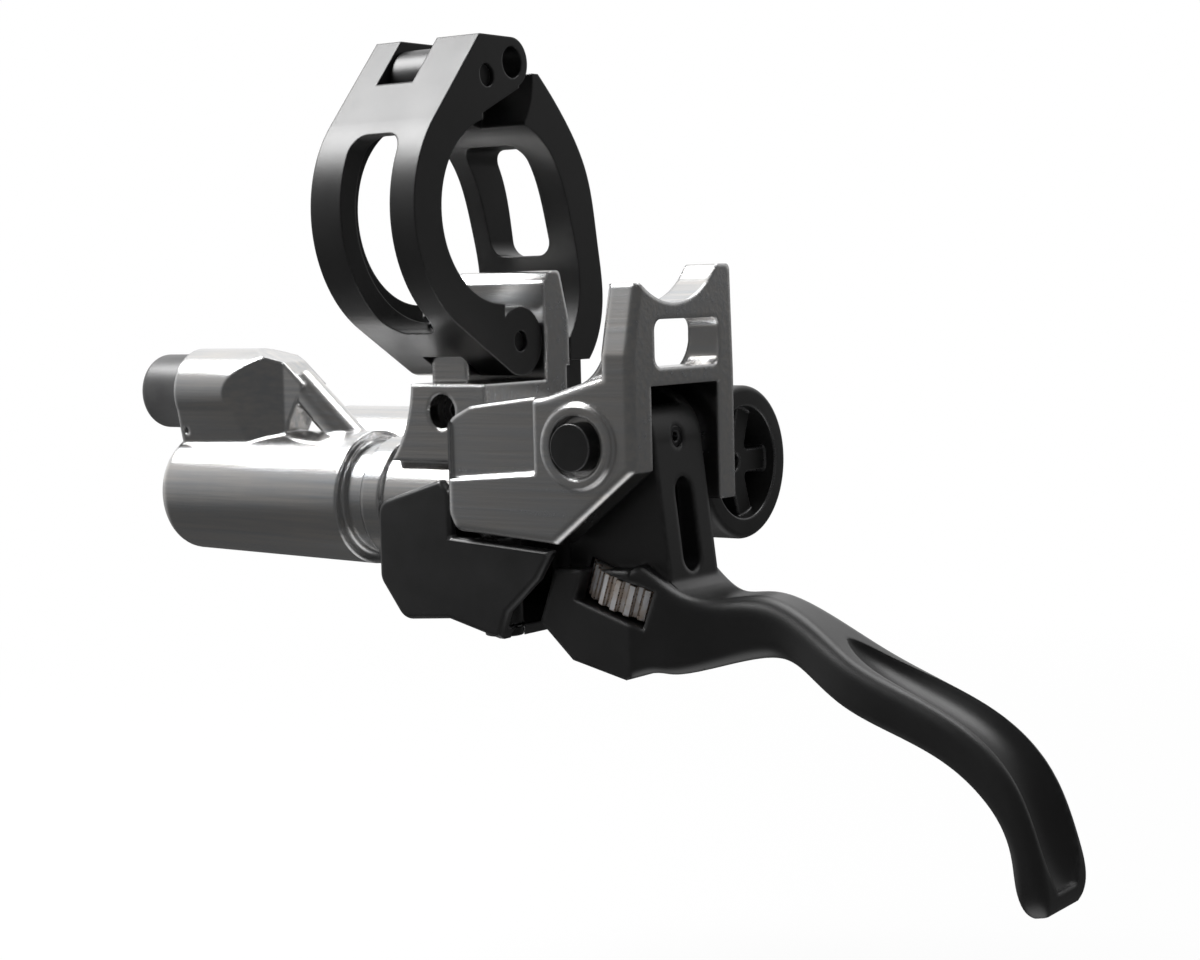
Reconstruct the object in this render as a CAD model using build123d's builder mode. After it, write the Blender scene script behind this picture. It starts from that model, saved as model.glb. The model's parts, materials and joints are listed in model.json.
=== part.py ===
from build123d import *
import math
import os

os.makedirs("parts", exist_ok=True)

# Frame: X along the handlebar and outboard, Z from the lever up to the bar, origin on the bar axis
# at mid width of the clamp. The lever swings about an axis along Y.

# Handlebar clamp
bar_radius = 11.1
clamp_width = 16.0
clamp_wall = 4.9
ear_radius = 3.0
ear_hole_y = 3.0
ear_hole_z = 17.8
ear_hole_radius = 1.9
ear_slope_angle = 49.0
ear_under_y = 4.3
ear_under_z = 14.8
ear_root_y = -2.9
ear_root_z = 11.5
upper_pin_y = -1.9
upper_pin_z = 16.0
upper_pin_radius = 1.35
lower_pin_y = 3.3
lower_pin_z = -15.7
lower_pin_radius = 1.25
ring_end_y = 0.3
pin_fit = 0.03
knuckle_radius = 4.2
left_window_x = 0.5
left_window_width = 7.6
left_window_top = 9.0
left_window_bottom = -14.4
left_window_corner = 2.2
left_window_depth = 1.0
relief_half_width = 5.4
relief_depth = 2.2
upper_slot_x = -1.3
upper_slot_width = 5.6
upper_slot_radius = 6.0
tongue_gap = 0.3
lower_slot_x = -0.15
lower_slot_width = 6.1
lower_slot_radius = 4.7
lower_slot_foot = 5.3
saddle_gap = 0.3

# Hinged arm on the far side of the bar
arm_barrel_radius = 3.7
arm_trim_radius = 8.85
arm_top_depth = 1.9
arm_outer_upper = (12.9, 12.0)
arm_outer_mid = (17.8, 4.8)
arm_outer_low = (19.8, -4.0)
arm_elbow = (20.6, -11.0)
arm_heel = (19.6, -15.2)
arm_toe = (17.4, -18.4)
arm_inner_low = (15.7, -9.5)
arm_inner_mid = (14.3, -1.5)
arm_inner_upper = (11.6, 5.4)
arm_lug_top = -15.6
arm_lug_depth = 4.3
arm_lug_corner = 2.0
arm_root = (11.0, 9.0)
arm_tongue_low = (-0.5, 11.6)
arm_tongue_back = (-3.1, 12.6)
arm_tip_y = 6.2
arm_tip_z = 16.7
arm_shoulder_y = 5.2
arm_shoulder_z = 10.4
arm_lug_inner_y = 13.4
arm_lug_bottom = -26.2
arm_lug_width = 9.4
arm_window_x = -0.7
arm_window_width = 9.4
arm_window_top = 8.4
arm_window_bottom = -5.2
arm_window_corner = 2.0

# Body, barrel and hose boss
mid_y = 1.9
barrel_z = -35.3
barrel_radius = 7.8
barrel_swell = 0.7
barrel_end_round = 1.6
barrel_end_x = -46.5
barrel_shoulder_x = -14.2
barrel_groove_width = 3.4
barrel_groove_depth = 0.55
barrel_collar = 3.0
barrel_neck_radius = 7.3
neck_overlap = 1.4
tunnel_radius = 3.9
bore_radius = 5.0
bore_end_x = -13.0
rod_bore_radius = 2.3
boss_z = -22.0
boss_radius = 5.7
boss_foot_half = 2.9
boss_setback = 1.6
boss_flank_run = 8.9
boss_top_run = 10.9
boss_slope_run = 16.5
boss_slope_drop = 1.75
boss_length = 20.0
boss_nose_drop = 4.7
boss_nose_half = 2.2
boss_toe_run = 16.4
boss_toe_z = -27.6
rib_radius = 2.2
rib_foot_x = -14.0
rib_foot_z = -32.1
rib_top_run = 17.6
rib_top_z = -20.8
vent_run = 1.0
vent_z = -27.0
vent_radius = 0.45
vent_depth = 2.3
port_radius = 3.1
port_depth = 12.0

# Rear barrel with the contact dial
rear_y = 22.0
rear_z = -31.4
rear_radius = 6.4
rear_start_x = -37.0
rear_end_x = 20.6
rear_bore_radius = 4.6
rear_bore_start_x = -6.0
rear_web_low = -36.0
rear_web_high = -28.0
rear_web_start_x = -9.0

# Bracket, saddle post and bolt hole
tongue_radius = 3.9
tongue_root = 1.0
bracket_front_y = -4.6
bracket_left_x = -3.0
bracket_waist_x = -3.8
bracket_waist_z = -25.0
bracket_foot_x = -6.4
bracket_top_z = -20.6
bracket_back_y = 11.8
bracket_low_z = -30.0
bolt_x = 1.7
bolt_z = -23.9
bolt_hole_radius = 2.1
bolt_shank_radius = 1.5
bolt_seat_y = 2.0
bolt_head_length = 3.6
bolt_socket_radius = 1.2
bolt_socket_depth = 2.2
post_start_x = -5.6
post_end_x = 8.5
post_inner_y = 7.5
post_top_y = 10.7
post_top_z = -7.2
post_top_round = 0.8
post_belly_z = -13.0
post_base_y = 12.4
post_base_z = -19.0

# Main block, fork and brace foot
block_front_y = -9.2
block_back_y = 12.1
block_left_x = 5.8
block_left_top = -24.6
block_left_low = -37.7
block_corner_run = 1.0
block_corner_rise = 2.0
block_corner = 1.5
block_edge = 0.9
block_pad_x = 9.0
block_pad_top = -23.0
block_crest_x = 20.6
block_crest_z = -21.6
block_rear_top = -19.4
block_toe_x = 21.7
block_toe_z = -38.8
pad_step = 0.9
pad_step_z = -31.6
pad_right_x = 19.0
pad_overrun = 3.0
pad_step_rise = 1.0
leg_low_z = -30.2
rear_leg_low_z = -34.6
brace_back_x = 28.4
brace_front_x = 32.75
brace_top_left_y = -7.3
brace_top_right_y = 11.7
brace_left_top_z = -9.1
brace_right_top_z = -7.0
brace_horn_round = 0.8
brace_web_front_y = -7.9
brace_web_top = -15.9
brace_web_foot_x = 24.2
brace_web_mid_x = 27.2
brace_web_mid_z = -18.7
brace_bend_z = -17.0
brace_window_low = -18.7
brace_window_high = -13.2
brace_window_left_y = -4.3
brace_window_right_y = 9.2
brace_window_corner = 1.3
fork_front_y = -5.2
fork_back_y = 9.0
fork_top_z = -20.7
fork_hub_gap = 0.5

# Pivot
pivot_x = 25.3
pivot_z = -27.4
pivot_radius = 2.5
pivot_head_radius = 2.75
pivot_head_out = 1.0
pivot_boss_radius = 4.85
pivot_boss_height = 0.7
pivot_recess_radius = 3.6
pivot_recess_depth = 1.6
washer_radius = 4.4

# Lever
hub_radius = 6.2
arm_half_width = 4.9
knuckle_half_width = 7.9
lever_pocket_half = 3.0
slot_half_width = 1.9
slot_top_z = -31.4
slot_low_z = -42.4
lock_hole_z = -26.8
lock_hole_radius = 1.3
lock_socket_radius = 0.65

# Lever outline, each point given outboard of the pivot and below it
arm_face_low = (8.2, 15.8)
web_front = (10.4, 17.4)
heel_front = (12.4, 25.4)
heel_low = (3.7, 26.9)
heel_back = (-3.8, 25.1)
knuckle_back = (-8.4, 20.9)
knuckle_top = (-6.1, 14.6)

# Blade stations: bar side, outer side, half width and corner radius
blade_root = ((4.2, 14.3), (4.2, 26.7), 7.9, 1.0)
blade_side = ((8.2, 15.9), (8.6, 26.2), 6.8, 1.4)
blade_throat = ((12.6, 17.5), (13.0, 25.4), 5.4, 1.6)
blade_neck = ((19.6, 17.2), (20.6, 24.0), 3.7, 2.2)
blade_kink = ((26.6, 20.4), (25.6, 26.0), 4.4, 2.0)
blade_start = ((31.0, 23.1), (29.6, 28.2), 5.2, 1.6)
blade_mid = ((38.5, 26.3), (36.6, 31.0), 5.4, 1.6)
blade_bend = ((45.4, 29.7), (42.8, 33.7), 5.5, 1.6)
blade_hook = ((50.4, 34.8), (47.4, 37.4), 5.7, 1.5)
blade_curl = ((53.3, 42.0), (50.0, 42.6), 5.9, 1.4)
blade_tip = ((54.1, 46.6), (50.9, 47.3), 5.5, 1.2)
blade_end = ((53.6, 48.4), (52.0, 48.7), 4.2, 0.5)

# Scoop stations: place on the bar side, half width and depth
scoop_start = ((28.4, 21.3), 0.5, 0.3)
scoop_mouth = ((31.6, 23.4), 2.7, 1.4)
scoop_mid = ((38.5, 26.3), 3.9, 2.1)
scoop_bend = ((45.4, 29.7), 4.1, 2.3)
scoop_hook = ((50.4, 34.8), 4.2, 2.4)
scoop_curl = ((53.3, 42.0), 4.1, 2.0)
scoop_end = ((54.1, 46.2), 2.4, 0.8)

# Reach wheel and its screw
reach_x = 27.2
reach_z = -44.7
reach_tilt = 18.0
wheel_radius = 7.2
wheel_width = 3.9
wheel_teeth = 24
tooth_depth = 0.55
wheel_gap = 0.35
window_width = 9.6
screw_radius = 1.6
screw_top = 4.5
pocket_floor = 3.1
pocket_front_run = 2.4
pocket_back_run = 12.0
pad_inner_run = 4.0
pad_outer_run = 1.0
screw_bottom = -6.0
screw_travel = 0.75
screw_hole_over = 1.0
screw_fit = 0.05

# Pull arm, rod and piston
cam_half_width = 2.7
cam_hub_radius = 4.1
cam_waist = 0.6
cam_waist_drop = 1.6
cam_lean = 11.0
cam_pad_gap = 0.3
cam_tine = 1.4
rod_pin_radius = 1.2
rod_pin_play = 0.1
rod_pin_slot = 0.3
rod_eye_radius = 2.7
rod_eye_half = 1.1
rod_radius = 1.9
rod_shoulder = 1.2
piston_start_x = -36.0
piston_length = 9.0
piston_fit = 0.05
seal_width = 1.6
seal_depth = 0.9
spring_wire = 0.45
spring_turns = 5
plug_length = 4.5
plug_socket_radius = 2.2
plug_socket_depth = 2.2

# Contact dial and plunger
dial_front_x = 28.2
dial_radius = 9.5
dial_length = 7.2
dial_rim = 2.6
dial_rim_round = 0.8
dial_hub_radius = 2.9
dial_spokes = 5
dial_spoke_half = 1.5
dial_dish = 1.6
dial_floor = 1.8
dial_hole_radius = 1.0
dial_shaft_radius = 2.2
plunger_length = 8.0
plunger_start_x = -3.5
plunger_travel = 3.0

# Hose fitting
fitting_radius = 4.95
fitting_length = 5.9
fitting_groove = 0.5
fitting_groove_depth = 0.35
fitting_round = 1.2
hose_hole_radius = 2.6
hose_hole_depth = 11.9

# Lower cover
cover_front_y = -8.2
cover_back_y = 12.0
cover_wall = 1.4
cover_gap = 0.35
cover_left_x = -6.0
cover_left_top = -34.8
cover_peak_x = 3.9
cover_peak_z = -31.8
cover_step_x = 5.3
cover_step_z = -38.6
cover_toe_x = 20.4
cover_toe_z = -39.6
cover_lip_x = 18.2
cover_lip_z = -43.1
cover_chin_x = 13.6
cover_chin_z = -47.2
cover_low_x = 12.4
cover_low_z = -50.5
cover_keel_x = 4.6
cover_keel_z = -48.5
cover_heel_x = -2.4
cover_heel_z = -49.0
cover_heel_rise = 4.8
cover_heel_round = 2.2
cover_edge = 0.7
cover_screw_x = 10.5
cover_screw_radius = 1.25
cover_head_radius = 2.3
cover_head_length = 1.3
cover_screw_y = 6.6
cover_screw_depth = 3.0
cover_socket_radius = 1.0
cover_socket_depth = 0.8

# Working values
half_clamp = clamp_width / 2
clamp_outer_radius = bar_radius + clamp_wall
saddle_radius = bar_radius + saddle_gap
reach = 60.0
cut_over = 1.0
slope = math.radians(ear_slope_angle)
slope_touch_y = -clamp_outer_radius * math.sin(slope)
slope_touch_z = clamp_outer_radius * math.cos(slope)
bore_share = bar_radius / clamp_outer_radius
flank_turn = math.acos((clamp_outer_radius - knuckle_radius) / math.hypot(lower_pin_y, lower_pin_z))
flank_angle = math.atan2(lower_pin_z, lower_pin_y) - flank_turn
flank_y = math.cos(flank_angle)
flank_z = math.sin(flank_angle)
ear_top_z = ear_hole_z + ear_radius
slope_run = (ear_top_z - slope_touch_z) / math.tan(slope)
slope_end_y = slope_touch_y + slope_run
block_depth = block_back_y - block_front_y
tilt = math.radians(reach_tilt)
reach_dir_x = math.sin(tilt)
reach_dir_z = math.cos(tilt)
pin_drop = pivot_z - barrel_z
barrel_collar_x = barrel_shoulder_x + barrel_groove_width
brace_web_slope = (block_rear_top - block_crest_z) / (brace_back_x - block_crest_x)
brace_web_foot_z = block_crest_z + (brace_web_foot_x - block_crest_x) * brace_web_slope
boss_end_x = barrel_end_x + boss_setback
boss_flank_x = boss_end_x + boss_flank_run
boss_top_x = boss_end_x + boss_top_run
boss_slope_x = boss_end_x + boss_slope_run
boss_nose_x = boss_end_x + boss_length
boss_toe_x = boss_end_x + boss_toe_run
vent_x = boss_end_x + vent_run
rib_top_x = boss_end_x + rib_top_run
rib_run = rib_top_x - rib_foot_x
rib_rise = rib_top_z - rib_foot_z
rib_length = math.hypot(rib_run, rib_rise)
rib_plane = Plane(
    origin=(rib_foot_x, mid_y, rib_foot_z),
    x_dir=(0, 1, 0),
    z_dir=(rib_run, 0, rib_rise),
)
fitting_end_x = barrel_end_x - fitting_length
spring_start_x = piston_start_x + piston_length + spring_wire + tongue_gap
spring_length = bore_end_x - spring_wire - tongue_gap - spring_start_x
spring_pitch = spring_length / spring_turns
spring_radius = (bore_radius + rod_radius) / 2
rod_pin_x = pivot_x - pin_drop * math.tan(math.radians(cam_lean))
reach_plane = Plane(
    origin=(reach_x, mid_y, reach_z),
    x_dir=(reach_dir_z, 0, -reach_dir_x),
    z_dir=(reach_dir_x, 0, reach_dir_z),
)

pad_level = screw_top + cam_pad_gap
pad_inner = (
    reach_x + pad_level * reach_dir_x - pad_inner_run * reach_dir_z,
    reach_z + pad_level * reach_dir_z + pad_inner_run * reach_dir_x,
)
pad_outer = (
    reach_x + pad_level * reach_dir_x + pad_outer_run * reach_dir_z,
    reach_z + pad_level * reach_dir_z - pad_outer_run * reach_dir_x,
)
pocket_front = (
    reach_x + pocket_floor * reach_dir_x + pocket_front_run * reach_dir_z,
    reach_z + pocket_floor * reach_dir_z - pocket_front_run * reach_dir_x,
)
pocket_back = (
    reach_x + pocket_floor * reach_dir_x - pocket_back_run * reach_dir_z,
    reach_z + pocket_floor * reach_dir_z + pocket_back_run * reach_dir_x,
)


def lever_point(place):
    return (pivot_x + place[0], pivot_z - place[1])


def blade_plane(top, low):
    # Section plane across the blade, with its own y from the outer side to the bar side
    middle = (pivot_x + (top[0] + low[0]) / 2, mid_y, pivot_z - (top[1] + low[1]) / 2)
    return Plane(origin=middle, x_dir=(0, 1, 0), z_dir=(low[1] - top[1], 0, low[0] - top[0]))


def scoop_plane(before, place, after):
    # Section plane at a place on the bar side, square to the line between its neighbours
    spot = (pivot_x + place[0], mid_y, pivot_z - place[1])
    return Plane(origin=spot, x_dir=(0, 1, 0), z_dir=(after[0] - before[0], 0, before[1] - after[1]))


# Clamp half on the near side: ring, top fork and lower fork
with BuildPart() as clamp_left:
    with BuildSketch(Plane.YZ.offset(-half_clamp)):
        Circle(clamp_outer_radius)
        with Locations((ear_root_y + clamp_width, clamp_width)):
            Rectangle(2 * clamp_width, 2 * clamp_width, mode=Mode.SUBTRACT)
        with Locations((ring_end_y + clamp_width, 0)):
            Rectangle(2 * clamp_width, 4 * clamp_width, mode=Mode.SUBTRACT)
        with BuildLine():
            Polyline(
                (slope_touch_y, slope_touch_z),
                (slope_end_y, ear_top_z),
                (ear_hole_y, ear_top_z),
                (ear_under_y, ear_under_z),
                (ear_root_y, ear_root_z),
                (slope_touch_y * bore_share, slope_touch_z * bore_share),
                close=True,
            )
        make_face()
        with Locations((ear_hole_y, ear_hole_z)):
            Circle(ear_radius)
        with Locations((lower_pin_y, lower_pin_z)):
            Circle(knuckle_radius)
        # Straight flank that runs from the ring to the lower knuckle
        with BuildLine():
            Polyline(
                (clamp_outer_radius * flank_y, clamp_outer_radius * flank_z),
                (lower_pin_y + knuckle_radius * flank_y, lower_pin_z + knuckle_radius * flank_z),
                (lower_pin_y, lower_pin_z),
                (bar_radius * flank_y, bar_radius * flank_z),
                close=True,
            )
        make_face()
        Circle(bar_radius, mode=Mode.SUBTRACT)
        with Locations((ear_hole_y, ear_hole_z)):
            Circle(ear_hole_radius, mode=Mode.SUBTRACT)
        with Locations((upper_pin_y, upper_pin_z)):
            Circle(upper_pin_radius + pin_fit, mode=Mode.SUBTRACT)
        with Locations((lower_pin_y, lower_pin_z)):
            Circle(lower_pin_radius + pin_fit, mode=Mode.SUBTRACT)
    extrude(amount=clamp_width)
    # Relief that leaves a gripping band on each side of the bore
    with BuildSketch(Plane.YZ.offset(left_window_x - relief_half_width)):
        Circle(bar_radius + relief_depth)
    extrude(amount=2 * relief_half_width, mode=Mode.SUBTRACT)
    # Window through the outer wall
    with BuildSketch(Plane.XZ.offset(left_window_depth)):
        with Locations((left_window_x, (left_window_top + left_window_bottom) / 2)):
            RectangleRounded(left_window_width, left_window_top - left_window_bottom, left_window_corner)
    extrude(amount=clamp_width, mode=Mode.SUBTRACT)
    # Slot for the arm's tongue
    with BuildSketch(Plane.YZ.offset(upper_slot_x - upper_slot_width / 2)):
        with Locations((upper_pin_y, upper_pin_z)):
            Circle(upper_slot_radius)
        with Locations((upper_pin_y + clamp_width / 2, upper_pin_z)):
            Rectangle(clamp_width, 2 * upper_slot_radius)
    extrude(amount=upper_slot_width, mode=Mode.SUBTRACT)
    # Slot for the body's tongue
    with BuildSketch(Plane.YZ.offset(lower_slot_x - lower_slot_width / 2)):
        with Locations((lower_pin_y, lower_pin_z)):
            Circle(lower_slot_radius)
        with Locations((lower_pin_y + clamp_width / 2, lower_pin_z)):
            Rectangle(clamp_width, 2 * lower_slot_radius)
        with Locations((lower_pin_y, lower_pin_z - clamp_width / 2)):
            Rectangle(2 * lower_slot_foot, clamp_width)
    extrude(amount=lower_slot_width, mode=Mode.SUBTRACT)
clamp_left.part.label = "clamp_left"
export_step(clamp_left.part, "parts/clamp_left.step")

# Hinged arm: tongue, bowed wall and bolt lug
with BuildPart() as clamp_arm:
    with BuildSketch(Plane.YZ.offset(-half_clamp)):
        with BuildLine():
            Spline(
                (arm_tip_y + arm_top_depth, arm_tip_z),
                arm_outer_upper,
                arm_outer_mid,
                arm_outer_low,
                arm_elbow,
                arm_heel,
                arm_toe,
            )
            Polyline(arm_toe, (arm_lug_inner_y, arm_toe[1]), (arm_lug_inner_y, arm_lug_top))
            Spline(
                (arm_lug_inner_y, arm_lug_top),
                arm_inner_low,
                arm_inner_mid,
                arm_inner_upper,
                (arm_shoulder_y, arm_shoulder_z),
            )
            Polyline(
                (arm_shoulder_y, arm_shoulder_z),
                (arm_tip_y, arm_tip_z),
                (arm_tip_y + arm_top_depth, arm_tip_z),
            )
        make_face()
        with Locations((upper_pin_y, upper_pin_z)):
            Circle(arm_trim_radius, mode=Mode.SUBTRACT)
    extrude(amount=clamp_width)
    # Lug that takes the clamp bolt
    with BuildSketch(Plane.XZ.offset(-arm_lug_inner_y - arm_lug_depth)):
        with Locations((bolt_x, (arm_lug_bottom + arm_lug_top) / 2)):
            RectangleRounded(arm_lug_width, arm_lug_top - arm_lug_bottom, arm_lug_corner)
    extrude(amount=arm_lug_depth)
    with BuildSketch(Plane.XZ.offset(-arm_lug_inner_y)):
        with Locations((bolt_x, bolt_z)):
            Circle(bolt_shank_radius)
    extrude(amount=-arm_lug_depth, mode=Mode.SUBTRACT)
    # Window through the wall
    with BuildSketch(Plane.XZ.offset(-clamp_outer_radius / 2)):
        with Locations((arm_window_x, (arm_window_top + arm_window_bottom) / 2)):
            RectangleRounded(arm_window_width, arm_window_top - arm_window_bottom, arm_window_corner)
    extrude(amount=-2 * clamp_outer_radius, mode=Mode.SUBTRACT)
    # Tongue that enters the near half
    with BuildSketch(Plane.YZ.offset(upper_slot_x - upper_slot_width / 2 + tongue_gap)):
        with Locations((upper_pin_y, upper_pin_z)):
            Circle(arm_barrel_radius)
        with BuildLine():
            Polyline(
                (upper_pin_y, upper_pin_z + arm_barrel_radius),
                (arm_tip_y + arm_top_depth, arm_tip_z),
                arm_root,
                (arm_shoulder_y, arm_shoulder_z),
                arm_tongue_low,
                arm_tongue_back,
                close=True,
            )
        make_face()
        with Locations((upper_pin_y, upper_pin_z)):
            Circle(upper_pin_radius + pin_fit, mode=Mode.SUBTRACT)
    extrude(amount=upper_slot_width - 2 * tongue_gap)
clamp_arm.part.label = "clamp_arm"
export_step(clamp_arm.part, "parts/clamp_arm.step")

with BuildPart() as upper_hinge_pin:
    with BuildSketch(Plane.YZ.offset(-half_clamp + pin_fit)):
        with Locations((upper_pin_y, upper_pin_z)):
            Circle(upper_pin_radius)
    extrude(amount=clamp_width - 2 * tongue_gap)
upper_hinge_pin.part.label = "upper_hinge_pin"
export_step(upper_hinge_pin.part, "parts/upper_hinge_pin.step")

with BuildPart() as lower_hinge_pin:
    with BuildSketch(Plane.YZ.offset(-half_clamp + pin_fit)):
        with Locations((lower_pin_y, lower_pin_z)):
            Circle(lower_pin_radius)
    extrude(amount=clamp_width - 2 * tongue_gap)
lower_hinge_pin.part.label = "lower_hinge_pin"
export_step(lower_hinge_pin.part, "parts/lower_hinge_pin.step")

# One-piece forged body
with BuildPart() as main_body:
    # Block that carries the fork and the brace foot
    with BuildSketch(Plane.XZ.offset(-block_back_y)) as block_outline:
        with BuildLine():
            Polyline(
                (block_left_x, block_left_top),
                (block_pad_x, block_pad_top),
                (block_crest_x, block_crest_z),
                (brace_back_x, block_rear_top),
                (brace_front_x, block_rear_top),
                (brace_front_x, leg_low_z),
                (block_toe_x, block_toe_z),
                (block_left_x + block_corner_run, block_left_low),
                (block_left_x, block_left_low + block_corner_rise),
                close=True,
            )
        make_face()
        fillet(block_outline.vertices().sort_by(Axis.X)[:4], block_corner)
    extrude(amount=block_depth)
    # Brace foot with its bar saddle and window
    with BuildSketch(Plane.YZ.offset(brace_back_x)) as brace_outline:
        with BuildLine():
            Polyline(
                (block_front_y, leg_low_z),
                (block_front_y, brace_bend_z),
                (brace_top_left_y, brace_left_top_z),
                (0, brace_left_top_z),
                (0, brace_right_top_z),
                (brace_top_right_y, brace_right_top_z),
                (block_back_y, block_rear_top),
                (block_back_y, leg_low_z),
                close=True,
            )
        make_face()
        Circle(saddle_radius, mode=Mode.SUBTRACT)
        fillet(brace_outline.vertices().sort_by(Axis.Y)[-2:], brace_horn_round)
        with Locations((
            (brace_window_left_y + brace_window_right_y) / 2,
            (brace_window_low + brace_window_high) / 2,
        )):
            RectangleRounded(
                brace_window_right_y - brace_window_left_y,
                brace_window_high - brace_window_low,
                brace_window_corner,
                mode=Mode.SUBTRACT,
            )
    extrude(amount=brace_front_x - brace_back_x)
    # Rounded front edges of the block and of the near leg
    front_edges = main_body.edges().filter_by_position(
        Axis.Y, block_front_y - pin_fit, brace_top_left_y - pin_fit
    )
    bend_line = front_edges.filter_by_position(Axis.Z, brace_bend_z - pin_fit, brace_bend_z + pin_fit)
    fillet(front_edges - bend_line, block_edge)
    # Hollow curve that carries each leg of the brace into the block
    for web_start, web_end in (
        (brace_web_front_y, brace_window_left_y),
        (brace_window_right_y, block_back_y),
    ):
        with BuildSketch(Plane.XZ.offset(-web_end)):
            with BuildLine():
                Polyline(
                    (brace_back_x, brace_web_top),
                    (brace_back_x, pivot_z),
                    (brace_web_foot_x, pivot_z),
                    (brace_web_foot_x, brace_web_foot_z),
                )
                ThreePointArc(
                    (brace_web_foot_x, brace_web_foot_z),
                    (brace_web_mid_x, brace_web_mid_z),
                    (brace_back_x, brace_web_top),
                )
            make_face()
        extrude(amount=web_end - web_start)
    # Rear leg reaches lower than the front one
    with BuildSketch(Plane.XZ.offset(-block_back_y)):
        with BuildLine():
            Polyline(
                (brace_back_x, rear_leg_low_z),
                (brace_front_x, rear_leg_low_z),
                (brace_front_x, leg_low_z),
                (brace_back_x, leg_low_z),
                close=True,
            )
        make_face()
    extrude(amount=block_back_y - fork_back_y)
    # Hose boss above the barrel, drawn in towards its foot
    with BuildSketch(Plane.YZ.offset(boss_end_x)):
        with Locations((mid_y, boss_z)):
            Circle(boss_radius)
        with BuildLine():
            Polyline(
                (mid_y - boss_radius, boss_z),
                (mid_y + boss_radius, boss_z),
                (mid_y + boss_foot_half, barrel_z),
                (mid_y - boss_foot_half, barrel_z),
                close=True,
            )
        make_face()
    extrude(amount=boss_nose_x - boss_end_x)
    # Nose of the boss: sloped on top, undercut towards the barrel
    with BuildSketch(Plane.XZ.offset(-mid_y - barrel_radius)):
        with BuildLine():
            Polyline(
                (boss_top_x, boss_z + boss_radius),
                (boss_slope_x, boss_z + boss_radius - boss_slope_drop),
                (boss_nose_x, boss_z + boss_radius - boss_nose_drop),
                (boss_toe_x, boss_toe_z),
                (boss_nose_x + boss_radius, boss_toe_z),
                (boss_nose_x + boss_radius, boss_z + 2 * boss_radius),
                (boss_top_x, boss_z + 2 * boss_radius),
                close=True,
            )
        make_face()
    extrude(amount=2 * barrel_radius, mode=Mode.SUBTRACT)
    # Both sides of the boss close in on the nose
    for side in (-1, 1):
        with BuildSketch(Plane.XY.offset(barrel_z)):
            with BuildLine():
                Polyline(
                    (boss_flank_x, mid_y + side * boss_radius),
                    (boss_slope_x, mid_y + side * boss_nose_half),
                    (boss_nose_x, mid_y + side * boss_nose_half),
                    (boss_nose_x, mid_y + side * 2 * boss_radius),
                    (boss_flank_x, mid_y + side * 2 * boss_radius),
                    close=True,
                )
            make_face()
        extrude(amount=boss_z + 2 * boss_radius - barrel_z, mode=Mode.SUBTRACT)
    # Small vent in the boss's near flank
    with BuildSketch(Plane.XZ.offset(boss_radius - mid_y)):
        with Locations((vent_x, vent_z)):
            Circle(vent_radius)
    extrude(amount=-vent_depth, mode=Mode.SUBTRACT)
    # Turned barrel: slow swell, shallow groove, collar and neck
    with BuildSketch(Plane.XZ.offset(-mid_y)) as barrel_outline:
        with BuildLine():
            Polyline(
                (barrel_end_x, barrel_z),
                (barrel_end_x, barrel_z + barrel_radius),
                (barrel_shoulder_x, barrel_z + barrel_radius + barrel_swell),
                (barrel_shoulder_x, barrel_z + barrel_radius - barrel_groove_depth),
                (barrel_collar_x, barrel_z + barrel_radius - barrel_groove_depth),
                (barrel_collar_x, barrel_z + barrel_radius),
                (barrel_collar_x + barrel_collar, barrel_z + barrel_radius),
                (barrel_collar_x + barrel_collar, barrel_z + barrel_neck_radius),
                (block_left_x + neck_overlap, barrel_z + barrel_neck_radius),
                (block_left_x + neck_overlap, barrel_z),
                close=True,
            )
        make_face()
        fillet(barrel_outline.vertices().sort_by(Axis.X)[:2].sort_by(Axis.Y)[-1:], barrel_end_round)
    revolve(axis=Axis((barrel_end_x, mid_y, barrel_z), (1, 0, 0)))
    with BuildSketch(Plane.YZ.offset(block_left_x)):
        with Locations((mid_y, barrel_z)):
            Circle(tunnel_radius)
    extrude(amount=pivot_x - hub_radius - fork_hub_gap - block_left_x)
    # Sloping oil passage from the barrel up to the boss
    with BuildSketch(rib_plane):
        Circle(rib_radius)
    extrude(amount=rib_length)
    # Rear barrel
    with BuildSketch(Plane.YZ.offset(rear_start_x)):
        with Locations((rear_y, rear_z)):
            Circle(rear_radius)
    extrude(amount=rear_end_x - rear_start_x)
    with BuildSketch(Plane.YZ.offset(rear_web_start_x)):
        with Locations(((mid_y + rear_y) / 2, (rear_web_low + rear_web_high) / 2)):
            Rectangle(rear_y - mid_y, rear_web_high - rear_web_low)
    extrude(amount=rear_end_x - rear_web_start_x - rear_radius)
    # Bracket plate under the clamp
    with BuildSketch(Plane.XZ.offset(-bracket_back_y)):
        with BuildLine():
            Polyline(
                (bracket_left_x, bracket_top_z),
                (post_end_x, bracket_top_z),
                (post_end_x, bracket_low_z),
                (bracket_foot_x, bracket_low_z),
            )
            ThreePointArc(
                (bracket_foot_x, bracket_low_z),
                (bracket_waist_x, bracket_waist_z),
                (bracket_left_x, bracket_top_z),
            )
        make_face()
    extrude(amount=bracket_back_y - bracket_front_y)
    # Saddle post behind the lower knuckle
    with BuildSketch(Plane.YZ.offset(post_start_x)) as post_outline:
        with BuildLine():
            Polyline(
                (post_inner_y, bracket_low_z),
                (post_inner_y, post_top_z),
                (post_top_y, post_top_z),
                (post_base_y, post_belly_z),
                (post_base_y, post_base_z),
                (bracket_back_y, post_base_z),
                (bracket_back_y, bracket_low_z),
                close=True,
            )
        make_face()
        Circle(saddle_radius, mode=Mode.SUBTRACT)
        fillet(post_outline.vertices().sort_by(Axis.Y)[-2:], post_top_round)
    extrude(amount=post_end_x - post_start_x)
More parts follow.
